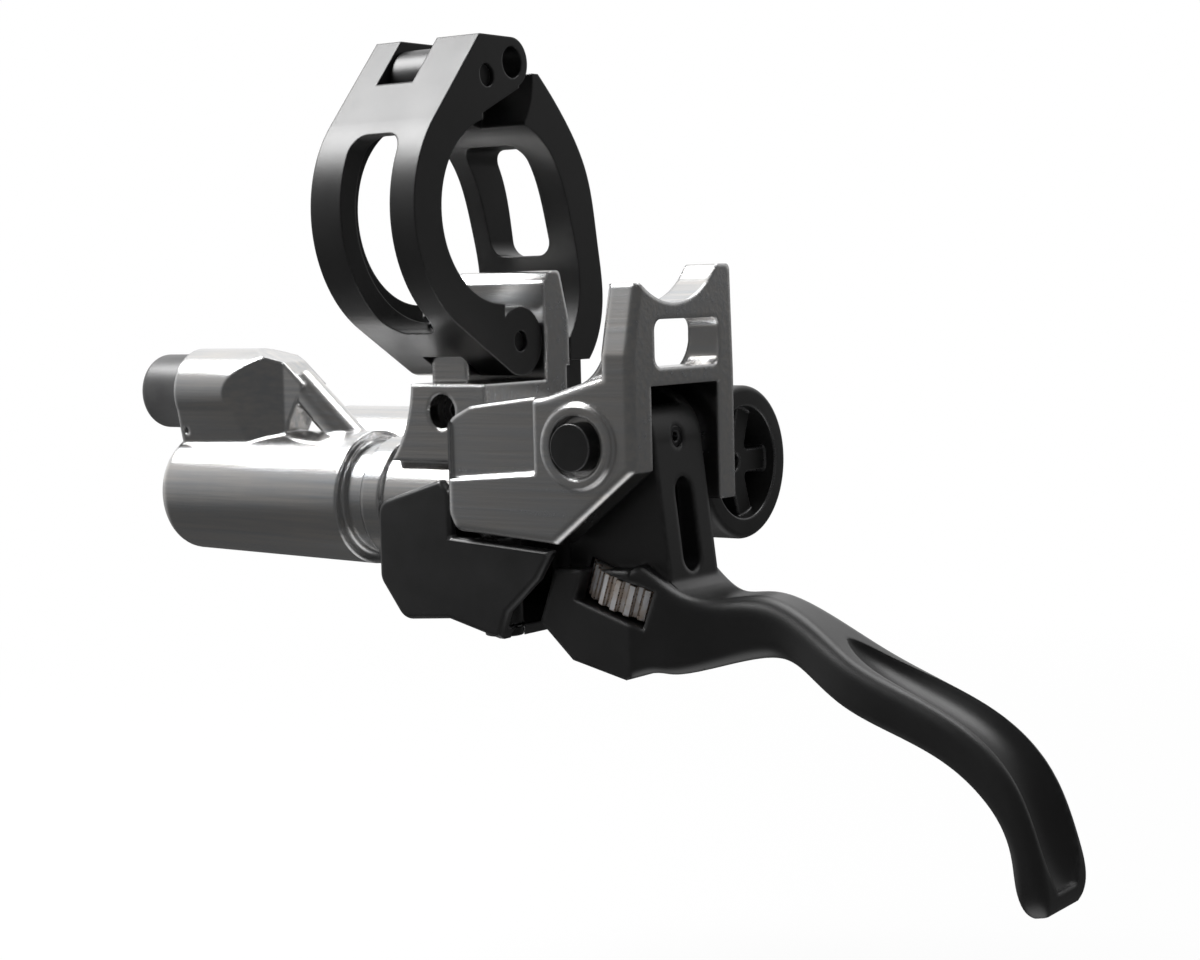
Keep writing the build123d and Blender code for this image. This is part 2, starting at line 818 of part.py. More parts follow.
    # Tongue between the ears of the near half
    with BuildSketch(Plane.YZ.offset(lower_slot_x - lower_slot_width / 2 + tongue_gap)):
        with Locations((lower_pin_y, lower_pin_z)):
            Circle(tongue_radius)
        with Locations((lower_pin_y, (lower_pin_z + bracket_top_z) / 2)):
            Rectangle(2 * tongue_radius, lower_pin_z - bracket_top_z + 2 * tongue_root)
        with Locations(((lower_pin_y + post_inner_y) / 2 + tongue_root, lower_pin_z)):
            Rectangle(post_inner_y - lower_pin_y + 2 * tongue_root, 2 * tongue_radius - tongue_root)
    extrude(amount=lower_slot_width - 2 * tongue_gap)
    # Room for the two ears of the near half
    for ear_start, ear_end in (
        (-half_clamp - tongue_gap, lower_slot_x - lower_slot_width / 2 + tongue_gap),
        (lower_slot_x + lower_slot_width / 2 - tongue_gap, half_clamp + tongue_gap),
    ):
        with BuildSketch(Plane.YZ.offset(ear_start)):
            with Locations((lower_pin_y, lower_pin_z)):
                Circle(lower_slot_radius)
        extrude(amount=ear_end - ear_start, mode=Mode.SUBTRACT)
    # Raised lower half of the front pad
    with BuildSketch(Plane.XZ.offset(-block_front_y)):
        with BuildLine():
            Polyline(
                (block_pad_x - pad_overrun, pad_step_z),
                (pad_right_x, pad_step_z + pad_step_rise),
                (pad_right_x, block_rear_top),
                (block_pad_x - pad_overrun, block_rear_top),
                close=True,
            )
        make_face()
    extrude(amount=-pad_step, mode=Mode.SUBTRACT)
    # Pivot boss on the near leg
    with BuildSketch(Plane.XZ.offset(-block_front_y)):
        with Locations((pivot_x, pivot_z)):
            Circle(pivot_boss_radius)
    extrude(amount=pivot_boss_height)
    # Fork slot for the lever
    with BuildSketch(Plane.XZ.offset(-fork_back_y)):
        with Locations((pivot_x, pivot_z)):
            Circle(hub_radius + fork_hub_gap)
        with Locations((pivot_x - hub_radius - fork_hub_gap + reach / 2, pivot_z - reach / 2)):
            Rectangle(reach, reach)
        with Locations((pivot_x + reach / 2, fork_top_z - reach / 2)):
            Rectangle(reach, reach)
    extrude(amount=fork_back_y - fork_front_y, mode=Mode.SUBTRACT)
    # Holes
    with BuildSketch(Plane.XZ.offset(-block_back_y - cut_over)):
        with Locations((pivot_x, pivot_z)):
            Circle(pivot_radius + pin_fit)
    extrude(amount=block_depth + 2 * cut_over + pivot_boss_height, mode=Mode.SUBTRACT)
    with BuildSketch(Plane.XZ.offset(-block_front_y + pivot_boss_height)):
        with Locations((pivot_x, pivot_z)):
            Circle(pivot_recess_radius)
    extrude(amount=-pivot_recess_depth, mode=Mode.SUBTRACT)
    with BuildSketch(Plane.YZ.offset(-half_clamp)):
        with Locations((lower_pin_y, lower_pin_z)):
            Circle(lower_pin_radius + pin_fit)
    extrude(amount=clamp_width, mode=Mode.SUBTRACT)
    with BuildSketch(Plane.XZ.offset(-bracket_front_y)):
        with Locations((bolt_x, bolt_z)):
            Circle(bolt_hole_radius)
    extrude(amount=-(bolt_seat_y - bracket_front_y), mode=Mode.SUBTRACT)
    with BuildSketch(Plane.XZ.offset(-bolt_seat_y)):
        with Locations((bolt_x, bolt_z)):
            Circle(bolt_shank_radius + pin_fit)
    extrude(amount=-(block_back_y + cut_over - bolt_seat_y), mode=Mode.SUBTRACT)
    with BuildSketch(Plane.YZ.offset(barrel_end_x)):
        with Locations((mid_y, barrel_z)):
            Circle(bore_radius)
    extrude(amount=bore_end_x - barrel_end_x, mode=Mode.SUBTRACT)
    with BuildSketch(Plane.YZ.offset(bore_end_x)):
        with Locations((mid_y, barrel_z)):
            Circle(rod_bore_radius)
    extrude(amount=pivot_x - bore_end_x, mode=Mode.SUBTRACT)
    with BuildSketch(Plane.YZ.offset(boss_end_x)):
        with Locations((mid_y, boss_z)):
            Circle(port_radius)
    extrude(amount=port_depth, mode=Mode.SUBTRACT)
    with BuildSketch(Plane.YZ.offset(rear_bore_start_x)):
        with Locations((rear_y, rear_z)):
            Circle(rear_bore_radius)
    extrude(amount=rear_end_x - rear_bore_start_x, mode=Mode.SUBTRACT)
    with BuildSketch(Plane.XY.offset(block_toe_z - cut_over)):
        for screw_side in (-cover_screw_y, cover_screw_y):
            with Locations((cover_screw_x, mid_y + screw_side)):
                Circle(cover_screw_radius + pin_fit)
    extrude(amount=cut_over + cover_screw_depth, mode=Mode.SUBTRACT)
main_body.part.label = "main_body"
export_step(main_body.part, "parts/main_body.step")

# Black cover under the body, open towards the lever
with BuildPart() as lower_cover:
    with BuildSketch(Plane.XZ.offset(-cover_back_y)) as cover_outline:
        with BuildLine():
            Polyline(
                (cover_left_x, cover_left_top),
                (cover_peak_x, cover_peak_z),
                (cover_step_x, cover_peak_z - cover_wall),
                (cover_step_x, cover_step_z),
                (cover_toe_x, cover_toe_z),
                (cover_lip_x, cover_lip_z),
                (cover_chin_x, cover_chin_z),
                (cover_low_x, cover_low_z),
                (cover_keel_x, cover_keel_z),
                (cover_heel_x, cover_heel_z),
                (cover_left_x, cover_heel_z + cover_heel_rise),
                close=True,
            )
        make_face()
        fillet(cover_outline.vertices().sort_by(Axis.X)[:3], cover_heel_round)
    extrude(amount=cover_back_y - cover_front_y)
    fillet(lower_cover.faces().sort_by(Axis.Y)[0].edges(), cover_edge)
    # Hollow between the side walls
    with BuildSketch(Plane.XZ.offset(-cover_back_y + cover_wall)):
        with BuildLine():
            Polyline(
                (cover_left_x + cover_wall, cover_peak_z + cover_wall),
                (cover_toe_x + cover_wall, cover_peak_z + cover_wall),
                (cover_toe_x + cover_wall, cover_low_z + cover_wall),
                (cover_low_x, cover_low_z + cover_wall),
                (cover_keel_x, cover_keel_z + cover_wall),
                (cover_heel_x, cover_heel_z + cover_wall),
                (cover_left_x + cover_wall, cover_heel_z + cover_heel_rise + cover_wall),
                close=True,
            )
        make_face()
    extrude(amount=cover_back_y - cover_front_y - 2 * cover_wall, mode=Mode.SUBTRACT)
    # Notch round the barrel
    with BuildSketch(Plane.YZ.offset(cover_left_x - cover_wall)):
        with Locations((mid_y, barrel_z)):
            Circle(barrel_radius + cover_gap)
        with Locations((mid_y, barrel_z + barrel_radius)):
            Rectangle(2 * barrel_neck_radius, 2 * barrel_radius)
    extrude(amount=3 * cover_wall, mode=Mode.SUBTRACT)
    # Back wall stops under the web of the rear barrel
    with BuildSketch(Plane.XZ.offset(-cover_back_y - cover_wall)):
        with Locations((cover_left_x + reach / 2 - cover_wall, rear_web_low - cover_gap + reach / 2)):
            Rectangle(reach, reach)
    extrude(amount=3 * cover_wall, mode=Mode.SUBTRACT)
    # Pillars for the two screws
    with BuildSketch(Plane.XY.offset(cover_keel_z - cover_wall / 2)):
        for screw_side in (-cover_screw_y, cover_screw_y):
            with Locations((cover_screw_x, mid_y + screw_side)):
                Circle(cover_head_radius)
    extrude(amount=cover_step_z - cover_keel_z + cover_wall / 2)
    with BuildSketch(Plane.XY.offset(cover_low_z)):
        for screw_side in (-cover_screw_y, cover_screw_y):
            with Locations((cover_screw_x, mid_y + screw_side)):
                Circle(cover_screw_radius + pin_fit)
    extrude(amount=cover_step_z - cover_low_z, mode=Mode.SUBTRACT)
    with BuildSketch(Plane.XY.offset(cover_low_z - cover_wall)):
        for screw_side in (-cover_screw_y, cover_screw_y):
            with Locations((cover_screw_x, mid_y + screw_side)):
                Circle(cover_head_radius + pin_fit)
    extrude(amount=2 * cover_wall, mode=Mode.SUBTRACT)
lower_cover.part.label = "lower_cover"
export_step(lower_cover.part, "parts/lower_cover.step")

# Lever: upright arm, wide knuckle, kinked blade and hooked tip
with BuildPart() as lever_blade:
    # Blade drawn through its stations from the knuckle to the tip
    for top, low, half_width, corner in (
        blade_root,
        blade_side,
        blade_throat,
        blade_neck,
        blade_kink,
        blade_start,
        blade_mid,
        blade_bend,
        blade_hook,
        blade_curl,
        blade_tip,
        blade_end,
    ):
        with BuildSketch(blade_plane(top, low)):
            RectangleRounded(2 * half_width, math.dist(top, low), corner)
    loft()
    # Finger scoop along the bar side
    scoop = (scoop_start, scoop_mouth, scoop_mid, scoop_bend, scoop_hook, scoop_curl, scoop_end)
    for before, station, after in zip(scoop[:1] + scoop[:-1], scoop, scoop[1:] + scoop[-1:]):
        with BuildSketch(scoop_plane(before[0], station[0], after[0])):
            Ellipse(station[1], station[2])
    loft(mode=Mode.SUBTRACT)
    # Wide knuckle round the reach wheel
    with BuildSketch(Plane.XZ.offset(-mid_y - knuckle_half_width)):
        with BuildLine():
            Polyline(
                lever_point(knuckle_top),
                lever_point(blade_root[0]),
                lever_point(blade_root[1]),
                lever_point(heel_low),
                lever_point(heel_back),
                lever_point(knuckle_back),
                close=True,
            )
        make_face()
    extrude(amount=2 * knuckle_half_width)
    # Upright arm with its round hub
    with BuildSketch(Plane.XZ.offset(-mid_y - arm_half_width)):
        with Locations((pivot_x, pivot_z)):
            Circle(hub_radius)
        with BuildLine():
            Polyline(
                (pivot_x - hub_radius, pivot_z),
                (pivot_x + hub_radius, pivot_z),
                lever_point(arm_face_low),
                lever_point(web_front),
                lever_point(heel_front),
                lever_point(heel_back),
                lever_point(knuckle_top),
                close=True,
            )
        make_face()
    extrude(amount=2 * arm_half_width)
    # Pocket for the pull arm
    with BuildSketch(Plane.XZ.offset(-mid_y - lever_pocket_half)):
        with BuildLine():
            Polyline(
                (pivot_x - reach, pivot_z + reach),
                (pivot_x + cam_hub_radius + tongue_gap, pivot_z + reach),
                (pivot_x + cam_hub_radius + tongue_gap, pivot_z),
                pocket_front,
                pocket_back,
                (pivot_x - reach, pocket_back[1]),
                close=True,
            )
        make_face()
    extrude(amount=2 * lever_pocket_half, mode=Mode.SUBTRACT)
    # Space for the reach wheel, and its two windows
    with BuildSketch(reach_plane.offset(-wheel_width / 2 - wheel_gap)):
        Circle(wheel_radius + wheel_gap)
        Rectangle(window_width, 4 * knuckle_half_width)
    extrude(amount=wheel_width + 2 * wheel_gap, mode=Mode.SUBTRACT)
    with BuildSketch(reach_plane.offset(screw_bottom - screw_travel - wheel_gap)):
        Circle(screw_radius + screw_fit)
    extrude(
        amount=pocket_floor + screw_hole_over - screw_bottom + screw_travel + wheel_gap,
        mode=Mode.SUBTRACT,
    )
    # Long slot and lock screw hole in the outboard face
    with BuildSketch(Plane.YZ.offset(pivot_x)):
        with Locations((mid_y, (slot_top_z + slot_low_z) / 2)):
            SlotOverall(slot_top_z - slot_low_z, 2 * slot_half_width, rotation=90)
        with Locations((mid_y, lock_hole_z)):
            Circle(lock_hole_radius)
    extrude(amount=reach / 4, mode=Mode.SUBTRACT)
    # Pivot hole
    with BuildSketch(Plane.XZ.offset(-mid_y - arm_half_width)):
        with Locations((pivot_x, pivot_z)):
            Circle(pivot_radius + screw_fit)
    extrude(amount=2 * arm_half_width, mode=Mode.SUBTRACT)
lever_blade.part.label = "lever_blade"
export_step(lever_blade.part, "parts/lever_blade.step")

with BuildPart() as pin_lock_screw:
    with BuildSketch(Plane.YZ.offset(pivot_x + cam_hub_radius + tongue_gap)):
        with Locations((mid_y, lock_hole_z)):
            Circle(lock_hole_radius - pin_fit)
            RegularPolygon(lock_socket_radius, 6, mode=Mode.SUBTRACT)
    extrude(amount=hub_radius - cam_hub_radius - 2 * tongue_gap)
pin_lock_screw.part.label = "pin_lock_screw"
export_step(pin_lock_screw.part, "parts/pin_lock_screw.step")

with BuildPart() as reach_wheel:
    with BuildSketch(reach_plane.offset(-wheel_width / 2)):
        Circle(wheel_radius - tooth_depth)
        with PolarLocations(wheel_radius - tooth_depth, wheel_teeth):
            Rectangle(2 * tooth_depth, math.pi * wheel_radius / wheel_teeth)
        Circle(screw_radius + screw_fit, mode=Mode.SUBTRACT)
    extrude(amount=wheel_width)
reach_wheel.part.label = "reach_wheel"
export_step(reach_wheel.part, "parts/reach_wheel.step")

with BuildPart() as reach_screw:
    with BuildSketch(reach_plane.offset(screw_bottom)):
        Circle(screw_radius)
    extrude(amount=screw_top - screw_bottom)
reach_screw.part.label = "reach_screw"
export_step(reach_screw.part, "parts/reach_screw.step")

# Pull arm inside the lever
with BuildPart() as pull_arm:
    with BuildSketch(Plane.XZ.offset(-mid_y - cam_half_width)):
        with Locations((pivot_x, pivot_z)):
            Circle(cam_hub_radius)
        with Locations((rod_pin_x, barrel_z)):
            Circle(rod_eye_radius)
        with BuildLine():
            Polyline(
                (pivot_x - cam_hub_radius + cam_waist, pivot_z - cam_waist_drop),
                (rod_pin_x - rod_eye_radius, barrel_z),
                pad_inner,
                pad_outer,
                (pivot_x + cam_hub_radius - cam_waist, pivot_z - cam_waist_drop),
                close=True,
            )
        make_face()
        with Locations((pivot_x, pivot_z)):
            Circle(pivot_radius + screw_fit, mode=Mode.SUBTRACT)
    extrude(amount=2 * cam_half_width)
    # Slot between the tines for the rod eye
    with BuildSketch(Plane.XZ.offset(-mid_y - cam_tine)):
        with Locations((rod_pin_x, barrel_z)):
            Circle(rod_eye_radius + rod_pin_slot)
            with Locations((-reach / 4, 0)):
                Rectangle(reach / 2, 2 * rod_eye_radius + 2 * rod_pin_slot)
    extrude(amount=2 * cam_tine, mode=Mode.SUBTRACT)
    with BuildSketch(Plane.XZ.offset(-mid_y - cam_half_width)):
        with Locations(Location((rod_pin_x, barrel_z), 90.0 - cam_lean)):
            SlotCenterToCenter(2 * rod_pin_slot, 2 * rod_pin_radius + 2 * rod_pin_play)
    extrude(amount=2 * cam_half_width, mode=Mode.SUBTRACT)
pull_arm.part.label = "pull_arm"
export_step(pull_arm.part, "parts/pull_arm.step")

with BuildPart() as rod_pin:
    with BuildSketch(Plane.XZ.offset(-mid_y - cam_half_width + pin_fit)):
        with Locations((rod_pin_x, barrel_z)):
            Circle(rod_pin_radius)
    extrude(amount=2 * cam_half_width - 2 * pin_fit)
rod_pin.part.label = "rod_pin"
export_step(rod_pin.part, "parts/rod_pin.step")

with BuildPart() as pull_rod:
    with BuildSketch(Plane.YZ.offset(piston_start_x + piston_length)):
        with Locations((mid_y, barrel_z)):
            Circle(rod_radius)
    extrude(amount=rod_pin_x - rod_eye_radius - rod_shoulder - piston_start_x - piston_length)
    with BuildSketch(Plane.XZ.offset(-mid_y - rod_eye_half)):
        with Locations((rod_pin_x, barrel_z)):
            Circle(rod_eye_radius)
        with Locations((rod_pin_x - rod_eye_radius, barrel_z)):
            Rectangle(2 * rod_eye_radius, 2 * rod_radius)
        with Locations((rod_pin_x, barrel_z)):
            Circle(rod_pin_radius + pin_fit, mode=Mode.SUBTRACT)
    extrude(amount=2 * rod_eye_half)
pull_rod.part.label = "pull_rod"
export_step(pull_rod.part, "parts/pull_rod.step")

with BuildPart() as piston:
    with BuildSketch(Plane.YZ.offset(piston_start_x)):
        with Locations((mid_y, barrel_z)):
            Circle(bore_radius - piston_fit)
    extrude(amount=piston_length)
    for seal_start in (seal_width, piston_length - 2 * seal_width):
        with BuildSketch(Plane.YZ.offset(piston_start_x + seal_start)):
            with Locations((mid_y, barrel_z)):
                Circle(bore_radius)
                Circle(bore_radius - piston_fit - seal_depth, mode=Mode.SUBTRACT)
        extrude(amount=seal_width, mode=Mode.SUBTRACT)
piston.part.label = "piston"
export_step(piston.part, "parts/piston.step")

with BuildPart() as piston_seals:
    for seal_start in (seal_width, piston_length - 2 * seal_width):
        with BuildSketch(Plane.YZ.offset(piston_start_x + seal_start + pin_fit)):
            with Locations((mid_y, barrel_z)):
                Circle(bore_radius - pin_fit)
                Circle(bore_radius - piston_fit - seal_depth + pin_fit, mode=Mode.SUBTRACT)
        extrude(amount=seal_width - 2 * pin_fit)
piston_seals.part.label = "piston_seals"
export_step(piston_seals.part, "parts/piston_seals.step")

with BuildPart() as barrel_plug:
    with BuildSketch(Plane.YZ.offset(barrel_end_x)):
        with Locations((mid_y, barrel_z)):
            Circle(bore_radius - pin_fit)
    extrude(amount=plug_length)
    with BuildSketch(Plane.YZ.offset(barrel_end_x)):
        with Locations((mid_y, barrel_z)):
            RegularPolygon(plug_socket_radius, 6)
    extrude(amount=plug_socket_depth, mode=Mode.SUBTRACT)
barrel_plug.part.label = "barrel_plug"
export_step(barrel_plug.part, "parts/barrel_plug.step")

with BuildPart() as return_spring:
    with BuildLine() as coil:
        Helix(
            spring_pitch,
            spring_length,
            spring_radius,
            center=(spring_start_x, mid_y, barrel_z),
            direction=(1, 0, 0),
        )
    with BuildSketch(Plane(origin=coil.line @ 0, z_dir=coil.line % 0)):
        Circle(spring_wire)
    sweep(path=coil.line, is_frenet=True)
return_spring.part.label = "return_spring"
export_step(return_spring.part, "parts/return_spring.step")

with BuildPart() as pivot_pin:
    with BuildSketch(Plane.XZ.offset(-block_back_y + pin_fit)):
        with Locations((pivot_x, pivot_z)):
            Circle(pivot_radius)
    extrude(amount=block_depth - pin_fit)
    with BuildSketch(Plane.XZ.offset(-block_front_y + pivot_boss_height - pivot_recess_depth)):
        with Locations((pivot_x, pivot_z)):
            Circle(pivot_head_radius)
    extrude(amount=pivot_recess_depth + pivot_head_out)
pivot_pin.part.label = "pivot_pin"
export_step(pivot_pin.part, "parts/pivot_pin.step")

# Spacer washers between the fork and the lever
with BuildPart() as pivot_washers:
    for washer_start, washer_end in (
        (fork_front_y, mid_y - arm_half_width - tongue_gap),
        (mid_y + arm_half_width + tongue_gap, fork_back_y),
    ):
        with BuildSketch(Plane.XZ.offset(-washer_end)):
            with Locations((pivot_x, pivot_z)):
                Circle(washer_radius)
                Circle(pivot_radius + pin_fit, mode=Mode.SUBTRACT)
        extrude(amount=washer_end - washer_start)
pivot_washers.part.label = "pivot_washers"
export_step(pivot_washers.part, "parts/pivot_washers.step")

with BuildPart() as clamp_bolt:
    with BuildSketch(Plane.XZ.offset(-bolt_seat_y)):
        with Locations((bolt_x, bolt_z)):
            Circle(bolt_hole_radius - pin_fit)
    extrude(amount=bolt_head_length)
    with BuildSketch(Plane.XZ.offset(-bolt_seat_y + bolt_head_length)):
        with Locations((bolt_x, bolt_z)):
            RegularPolygon(bolt_socket_radius, 6)
    extrude(amount=-bolt_socket_depth, mode=Mode.SUBTRACT)
    with BuildSketch(Plane.XZ.offset(-bracket_back_y + tongue_gap)):
        with Locations((bolt_x, bolt_z)):
            Circle(bolt_shank_radius)
    extrude(amount=bracket_back_y - tongue_gap - bolt_seat_y)
clamp_bolt.part.label = "clamp_bolt"
export_step(clamp_bolt.part, "parts/clamp_bolt.step")

with BuildPart() as hose_fitting:
    with BuildSketch(Plane.YZ.offset(fitting_end_x)):
        with Locations((mid_y, boss_z)):
            Circle(fitting_radius)
    extrude(amount=boss_end_x - fitting_end_x - fitting_groove)
    fillet(hose_fitting.edges().group_by(Axis.X)[0], fitting_round)
    with BuildSketch(Plane.YZ.offset(boss_end_x - fitting_groove)):
        with Locations((mid_y, boss_z)):
            Circle(fitting_radius - fitting_groove_depth)
    extrude(amount=fitting_groove)
    with BuildSketch(Plane.YZ.offset(boss_end_x)):
        with Locations((mid_y, boss_z)):
            Circle(port_radius - pin_fit)
    extrude(amount=port_depth - fitting_groove)
    with BuildSketch(Plane.YZ.offset(fitting_end_x)):
        with Locations((mid_y, boss_z)):
            Circle(hose_hole_radius)
    extrude(amount=hose_hole_depth, mode=Mode.SUBTRACT)
hose_fitting.part.label = "hose_fitting"
export_step(hose_fitting.part, "parts/hose_fitting.step")

# Contact dial with five openings round its hub
with BuildPart() as contact_dial:
    with BuildSketch(Plane.YZ.offset(dial_front_x - dial_length)):
        with Locations((rear_y, rear_z)):
            Circle(dial_radius)
    extrude(amount=dial_length)
    fillet(contact_dial.edges(), dial_rim_round)
    with BuildSketch(Plane.YZ.offset(dial_front_x)):
        with Locations((rear_y, rear_z)):
            Circle(dial_radius - dial_rim)
            Circle(dial_hub_radius, mode=Mode.SUBTRACT)
            with PolarLocations(dial_radius / 2, dial_spokes):
                Rectangle(dial_radius, 2 * dial_spoke_half, mode=Mode.SUBTRACT)
    extrude(amount=-(dial_length - dial_floor), mode=Mode.SUBTRACT)
    with BuildSketch(Plane.YZ.offset(dial_front_x)):
        with Locations((rear_y, rear_z)):
            Circle(dial_radius - dial_rim)
    extrude(amount=-dial_dish, mode=Mode.SUBTRACT)
    with BuildSketch(Plane.YZ.offset(plunger_start_x + tongue_gap)):
        with Locations((rear_y, rear_z)):
            Circle(dial_shaft_radius)
    extrude(amount=dial_front_x - dial_length - plunger_start_x)
    with BuildSketch(Plane.YZ.offset(dial_front_x - dial_dish)):
        with Locations((rear_y, rear_z)):
            Circle(dial_hole_radius)
    extrude(amount=-dial_length / 3, mode=Mode.SUBTRACT)
contact_dial.part.label = "contact_dial"
export_step(contact_dial.part, "parts/contact_dial.step")

with BuildPart() as dial_plunger:
    with BuildSketch(Plane.YZ.offset(plunger_start_x + plunger_travel)):
        with Locations((rear_y, rear_z)):
            Circle(rear_bore_radius - piston_fit)
            Circle(dial_shaft_radius + piston_fit, mode=Mode.SUBTRACT)
    extrude(amount=plunger_length)
dial_plunger.part.label = "dial_plunger"
export_step(dial_plunger.part, "parts/dial_plunger.step")

with BuildPart() as dial_collar:
    with BuildSketch(Plane.YZ.offset(rear_end_x - plunger_length / 2)):
        with Locations((rear_y, rear_z)):
            Circle(rear_bore_radius - pin_fit)
            Circle(dial_shaft_radius + piston_fit, mode=Mode.SUBTRACT)
    extrude(amount=plunger_length / 2)
dial_collar.part.label = "dial_collar"
export_step(dial_collar.part, "parts/dial_collar.step")

with BuildPart() as cover_screws:
    for screw_side in (-cover_screw_y, cover_screw_y):
        with BuildSketch(Plane.XY.offset(cover_low_z + cover_wall - cover_head_length)):
            with Locations((cover_screw_x, mid_y + screw_side)):
                Circle(cover_head_radius)
        extrude(amount=cover_head_length)
        with BuildSketch(Plane.XY.offset(cover_low_z + cover_wall - cover_head_length)):
            with Locations((cover_screw_x, mid_y + screw_side)):
                RegularPolygon(cover_socket_radius, 6)
        extrude(amount=cover_socket_depth, mode=Mode.SUBTRACT)
        with BuildSketch(Plane.XY.offset(cover_low_z + cover_wall)):
            with Locations((cover_screw_x, mid_y + screw_side)):
                Circle(cover_screw_radius)
        extrude(amount=block_toe_z + cover_screw_depth - tongue_gap - cover_low_z - cover_wall)
cover_screws.part.label = "cover_screws"
export_step(cover_screws.part, "parts/cover_screws.step")
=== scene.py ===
"""Looks of a hydraulic brake lever: softened edges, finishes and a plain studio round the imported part."""

import json
import math
from itertools import combinations

import bmesh
import bpy
import numpy as np
from bpy.props import FloatProperty, FloatVectorProperty, PointerProperty
from bpy.types import Operator, Panel, PropertyGroup
from mathutils import Matrix, Vector

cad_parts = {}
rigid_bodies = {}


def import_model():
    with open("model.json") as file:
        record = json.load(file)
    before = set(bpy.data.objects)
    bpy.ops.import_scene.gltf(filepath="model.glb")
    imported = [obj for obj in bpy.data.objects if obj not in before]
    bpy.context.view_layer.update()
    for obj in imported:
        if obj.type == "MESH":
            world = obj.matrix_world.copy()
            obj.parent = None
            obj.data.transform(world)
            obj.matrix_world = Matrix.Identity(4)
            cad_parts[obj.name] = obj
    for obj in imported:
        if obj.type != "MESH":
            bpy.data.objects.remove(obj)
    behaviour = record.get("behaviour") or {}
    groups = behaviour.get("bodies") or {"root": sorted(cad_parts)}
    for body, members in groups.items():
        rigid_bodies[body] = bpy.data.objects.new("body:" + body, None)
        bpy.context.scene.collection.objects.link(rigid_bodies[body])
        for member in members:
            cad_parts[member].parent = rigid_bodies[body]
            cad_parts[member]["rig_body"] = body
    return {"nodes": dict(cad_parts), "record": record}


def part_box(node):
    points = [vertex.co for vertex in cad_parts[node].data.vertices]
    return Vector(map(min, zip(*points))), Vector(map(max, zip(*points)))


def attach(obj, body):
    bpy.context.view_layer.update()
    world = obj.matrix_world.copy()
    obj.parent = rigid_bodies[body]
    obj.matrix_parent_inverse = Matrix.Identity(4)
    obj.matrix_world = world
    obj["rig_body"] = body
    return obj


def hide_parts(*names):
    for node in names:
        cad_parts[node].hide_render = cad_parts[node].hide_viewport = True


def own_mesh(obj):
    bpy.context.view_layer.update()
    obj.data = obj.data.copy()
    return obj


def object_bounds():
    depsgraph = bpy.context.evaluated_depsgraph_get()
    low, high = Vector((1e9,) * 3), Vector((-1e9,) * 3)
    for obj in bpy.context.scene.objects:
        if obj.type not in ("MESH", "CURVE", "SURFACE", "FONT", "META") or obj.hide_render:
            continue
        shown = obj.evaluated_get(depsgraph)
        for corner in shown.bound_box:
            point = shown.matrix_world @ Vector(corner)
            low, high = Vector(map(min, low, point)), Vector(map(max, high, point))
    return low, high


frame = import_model()
cad_box = [list(corner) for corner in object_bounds()]

bl_info = {
    "name": "Brake lever looks",
    "version": (1, 0, 0),
    "blender": (4, 5, 0),
    "location": "View3D > Sidebar > Brake lever",
    "description": "Softened edges, finishes and a plain studio for the packed brake lever",
    "category": "Object",
}

WHITE = (1.0, 1.0, 1.0, 1.0)


def length(name, text, value):
    return FloatProperty(name=name, description=text, default=value, unit="LENGTH", precision=5)


def angle(name, text, degrees):
    return FloatProperty(name=name, description=text, default=math.radians(degrees), subtype="ANGLE")


def tint(name, text, value):
    return FloatVectorProperty(
        name=name, description=text, default=value, subtype="COLOR", min=0.0, max=1.0
    )


class EdgeSizes(PropertyGroup):
    """Widths of the softened edges."""

    forged: length("Forged edges", "Softened edge of the polished body", 0.0007)
    clamp: length("Clamp edges", "Softened edge of the bar clamp", 0.0003)
    lever: length("Lever edges", "Softened edge of the lever", 0.0008)
    cover: length("Cover edges", "Softened edge of the cover, the dial and the hose fitting", 0.0003)
    small: length("Small edges", "Softened edge of pins, screws and the wheel", 0.00015)


class FinishColours(PropertyGroup):
    """Base colours of the finishes."""

    alloy: tint("Polished alloy", "Body colour", (0.74, 0.74, 0.745))
    clamp: tint("Clamp black", "Blasted black of the bar clamp", (0.0045, 0.0045, 0.0047))
    lever: tint("Lever black", "Satin black of the lever", (0.006, 0.006, 0.0062))
    cover: tint("Cover black", "Moulded black of the lower cover", (0.008, 0.008, 0.0083))
    dial: tint("Dial black", "Moulded black of the contact dial", (0.010, 0.010, 0.010))
    fitting: tint("Fitting grey", "Dark grey of the hose fitting", (0.05, 0.05, 0.051))
    wheel: tint("Wheel grey", "Grey of the reach wheel", (0.62, 0.62, 0.63))
    bronze: tint("Wheel brown", "Brown cast in the reach wheel's teeth", (0.50, 0.42, 0.36))
    steel: tint("Plain steel", "Colour of the plain steel pieces", (0.48, 0.48, 0.49))
    # Lighter black for the sharp edges of the black pieces: part edge wear, part painted highlight.
    wear_and_highlight: tint("Worn black", "Rubbed edges of the black pieces", (0.028, 0.028, 0.029))
    rubber: tint("Seal rubber", "Colour of the seals", (0.015, 0.015, 0.016))
    plastic: tint("Inner plastic", "Colour of the hidden plastic pieces", (0.03, 0.03, 0.032))


class StudioSettings(PropertyGroup):
    """Camera and floor."""

    focal: FloatProperty(
        name="Focal length", description="Lens in pixels of a 1200 pixel wide picture", default=2277.874
    )
    azimuth: angle("Azimuth", "Camera angle round the object", 35.6645)
    elevation: angle("Elevation", "Camera angle above the horizon", 4.7592)
    roll: angle("Roll", "Turn of the picture", -1.4176)
    eye: FloatVectorProperty(
        name="Eye",
        description="Place of the camera",
        default=(0.17718, -0.21672, -0.00979),
        subtype="TRANSLATION",
    )
    floor_drop: length("Floor drop", "Floor below the lowest point of the object", 0.03)


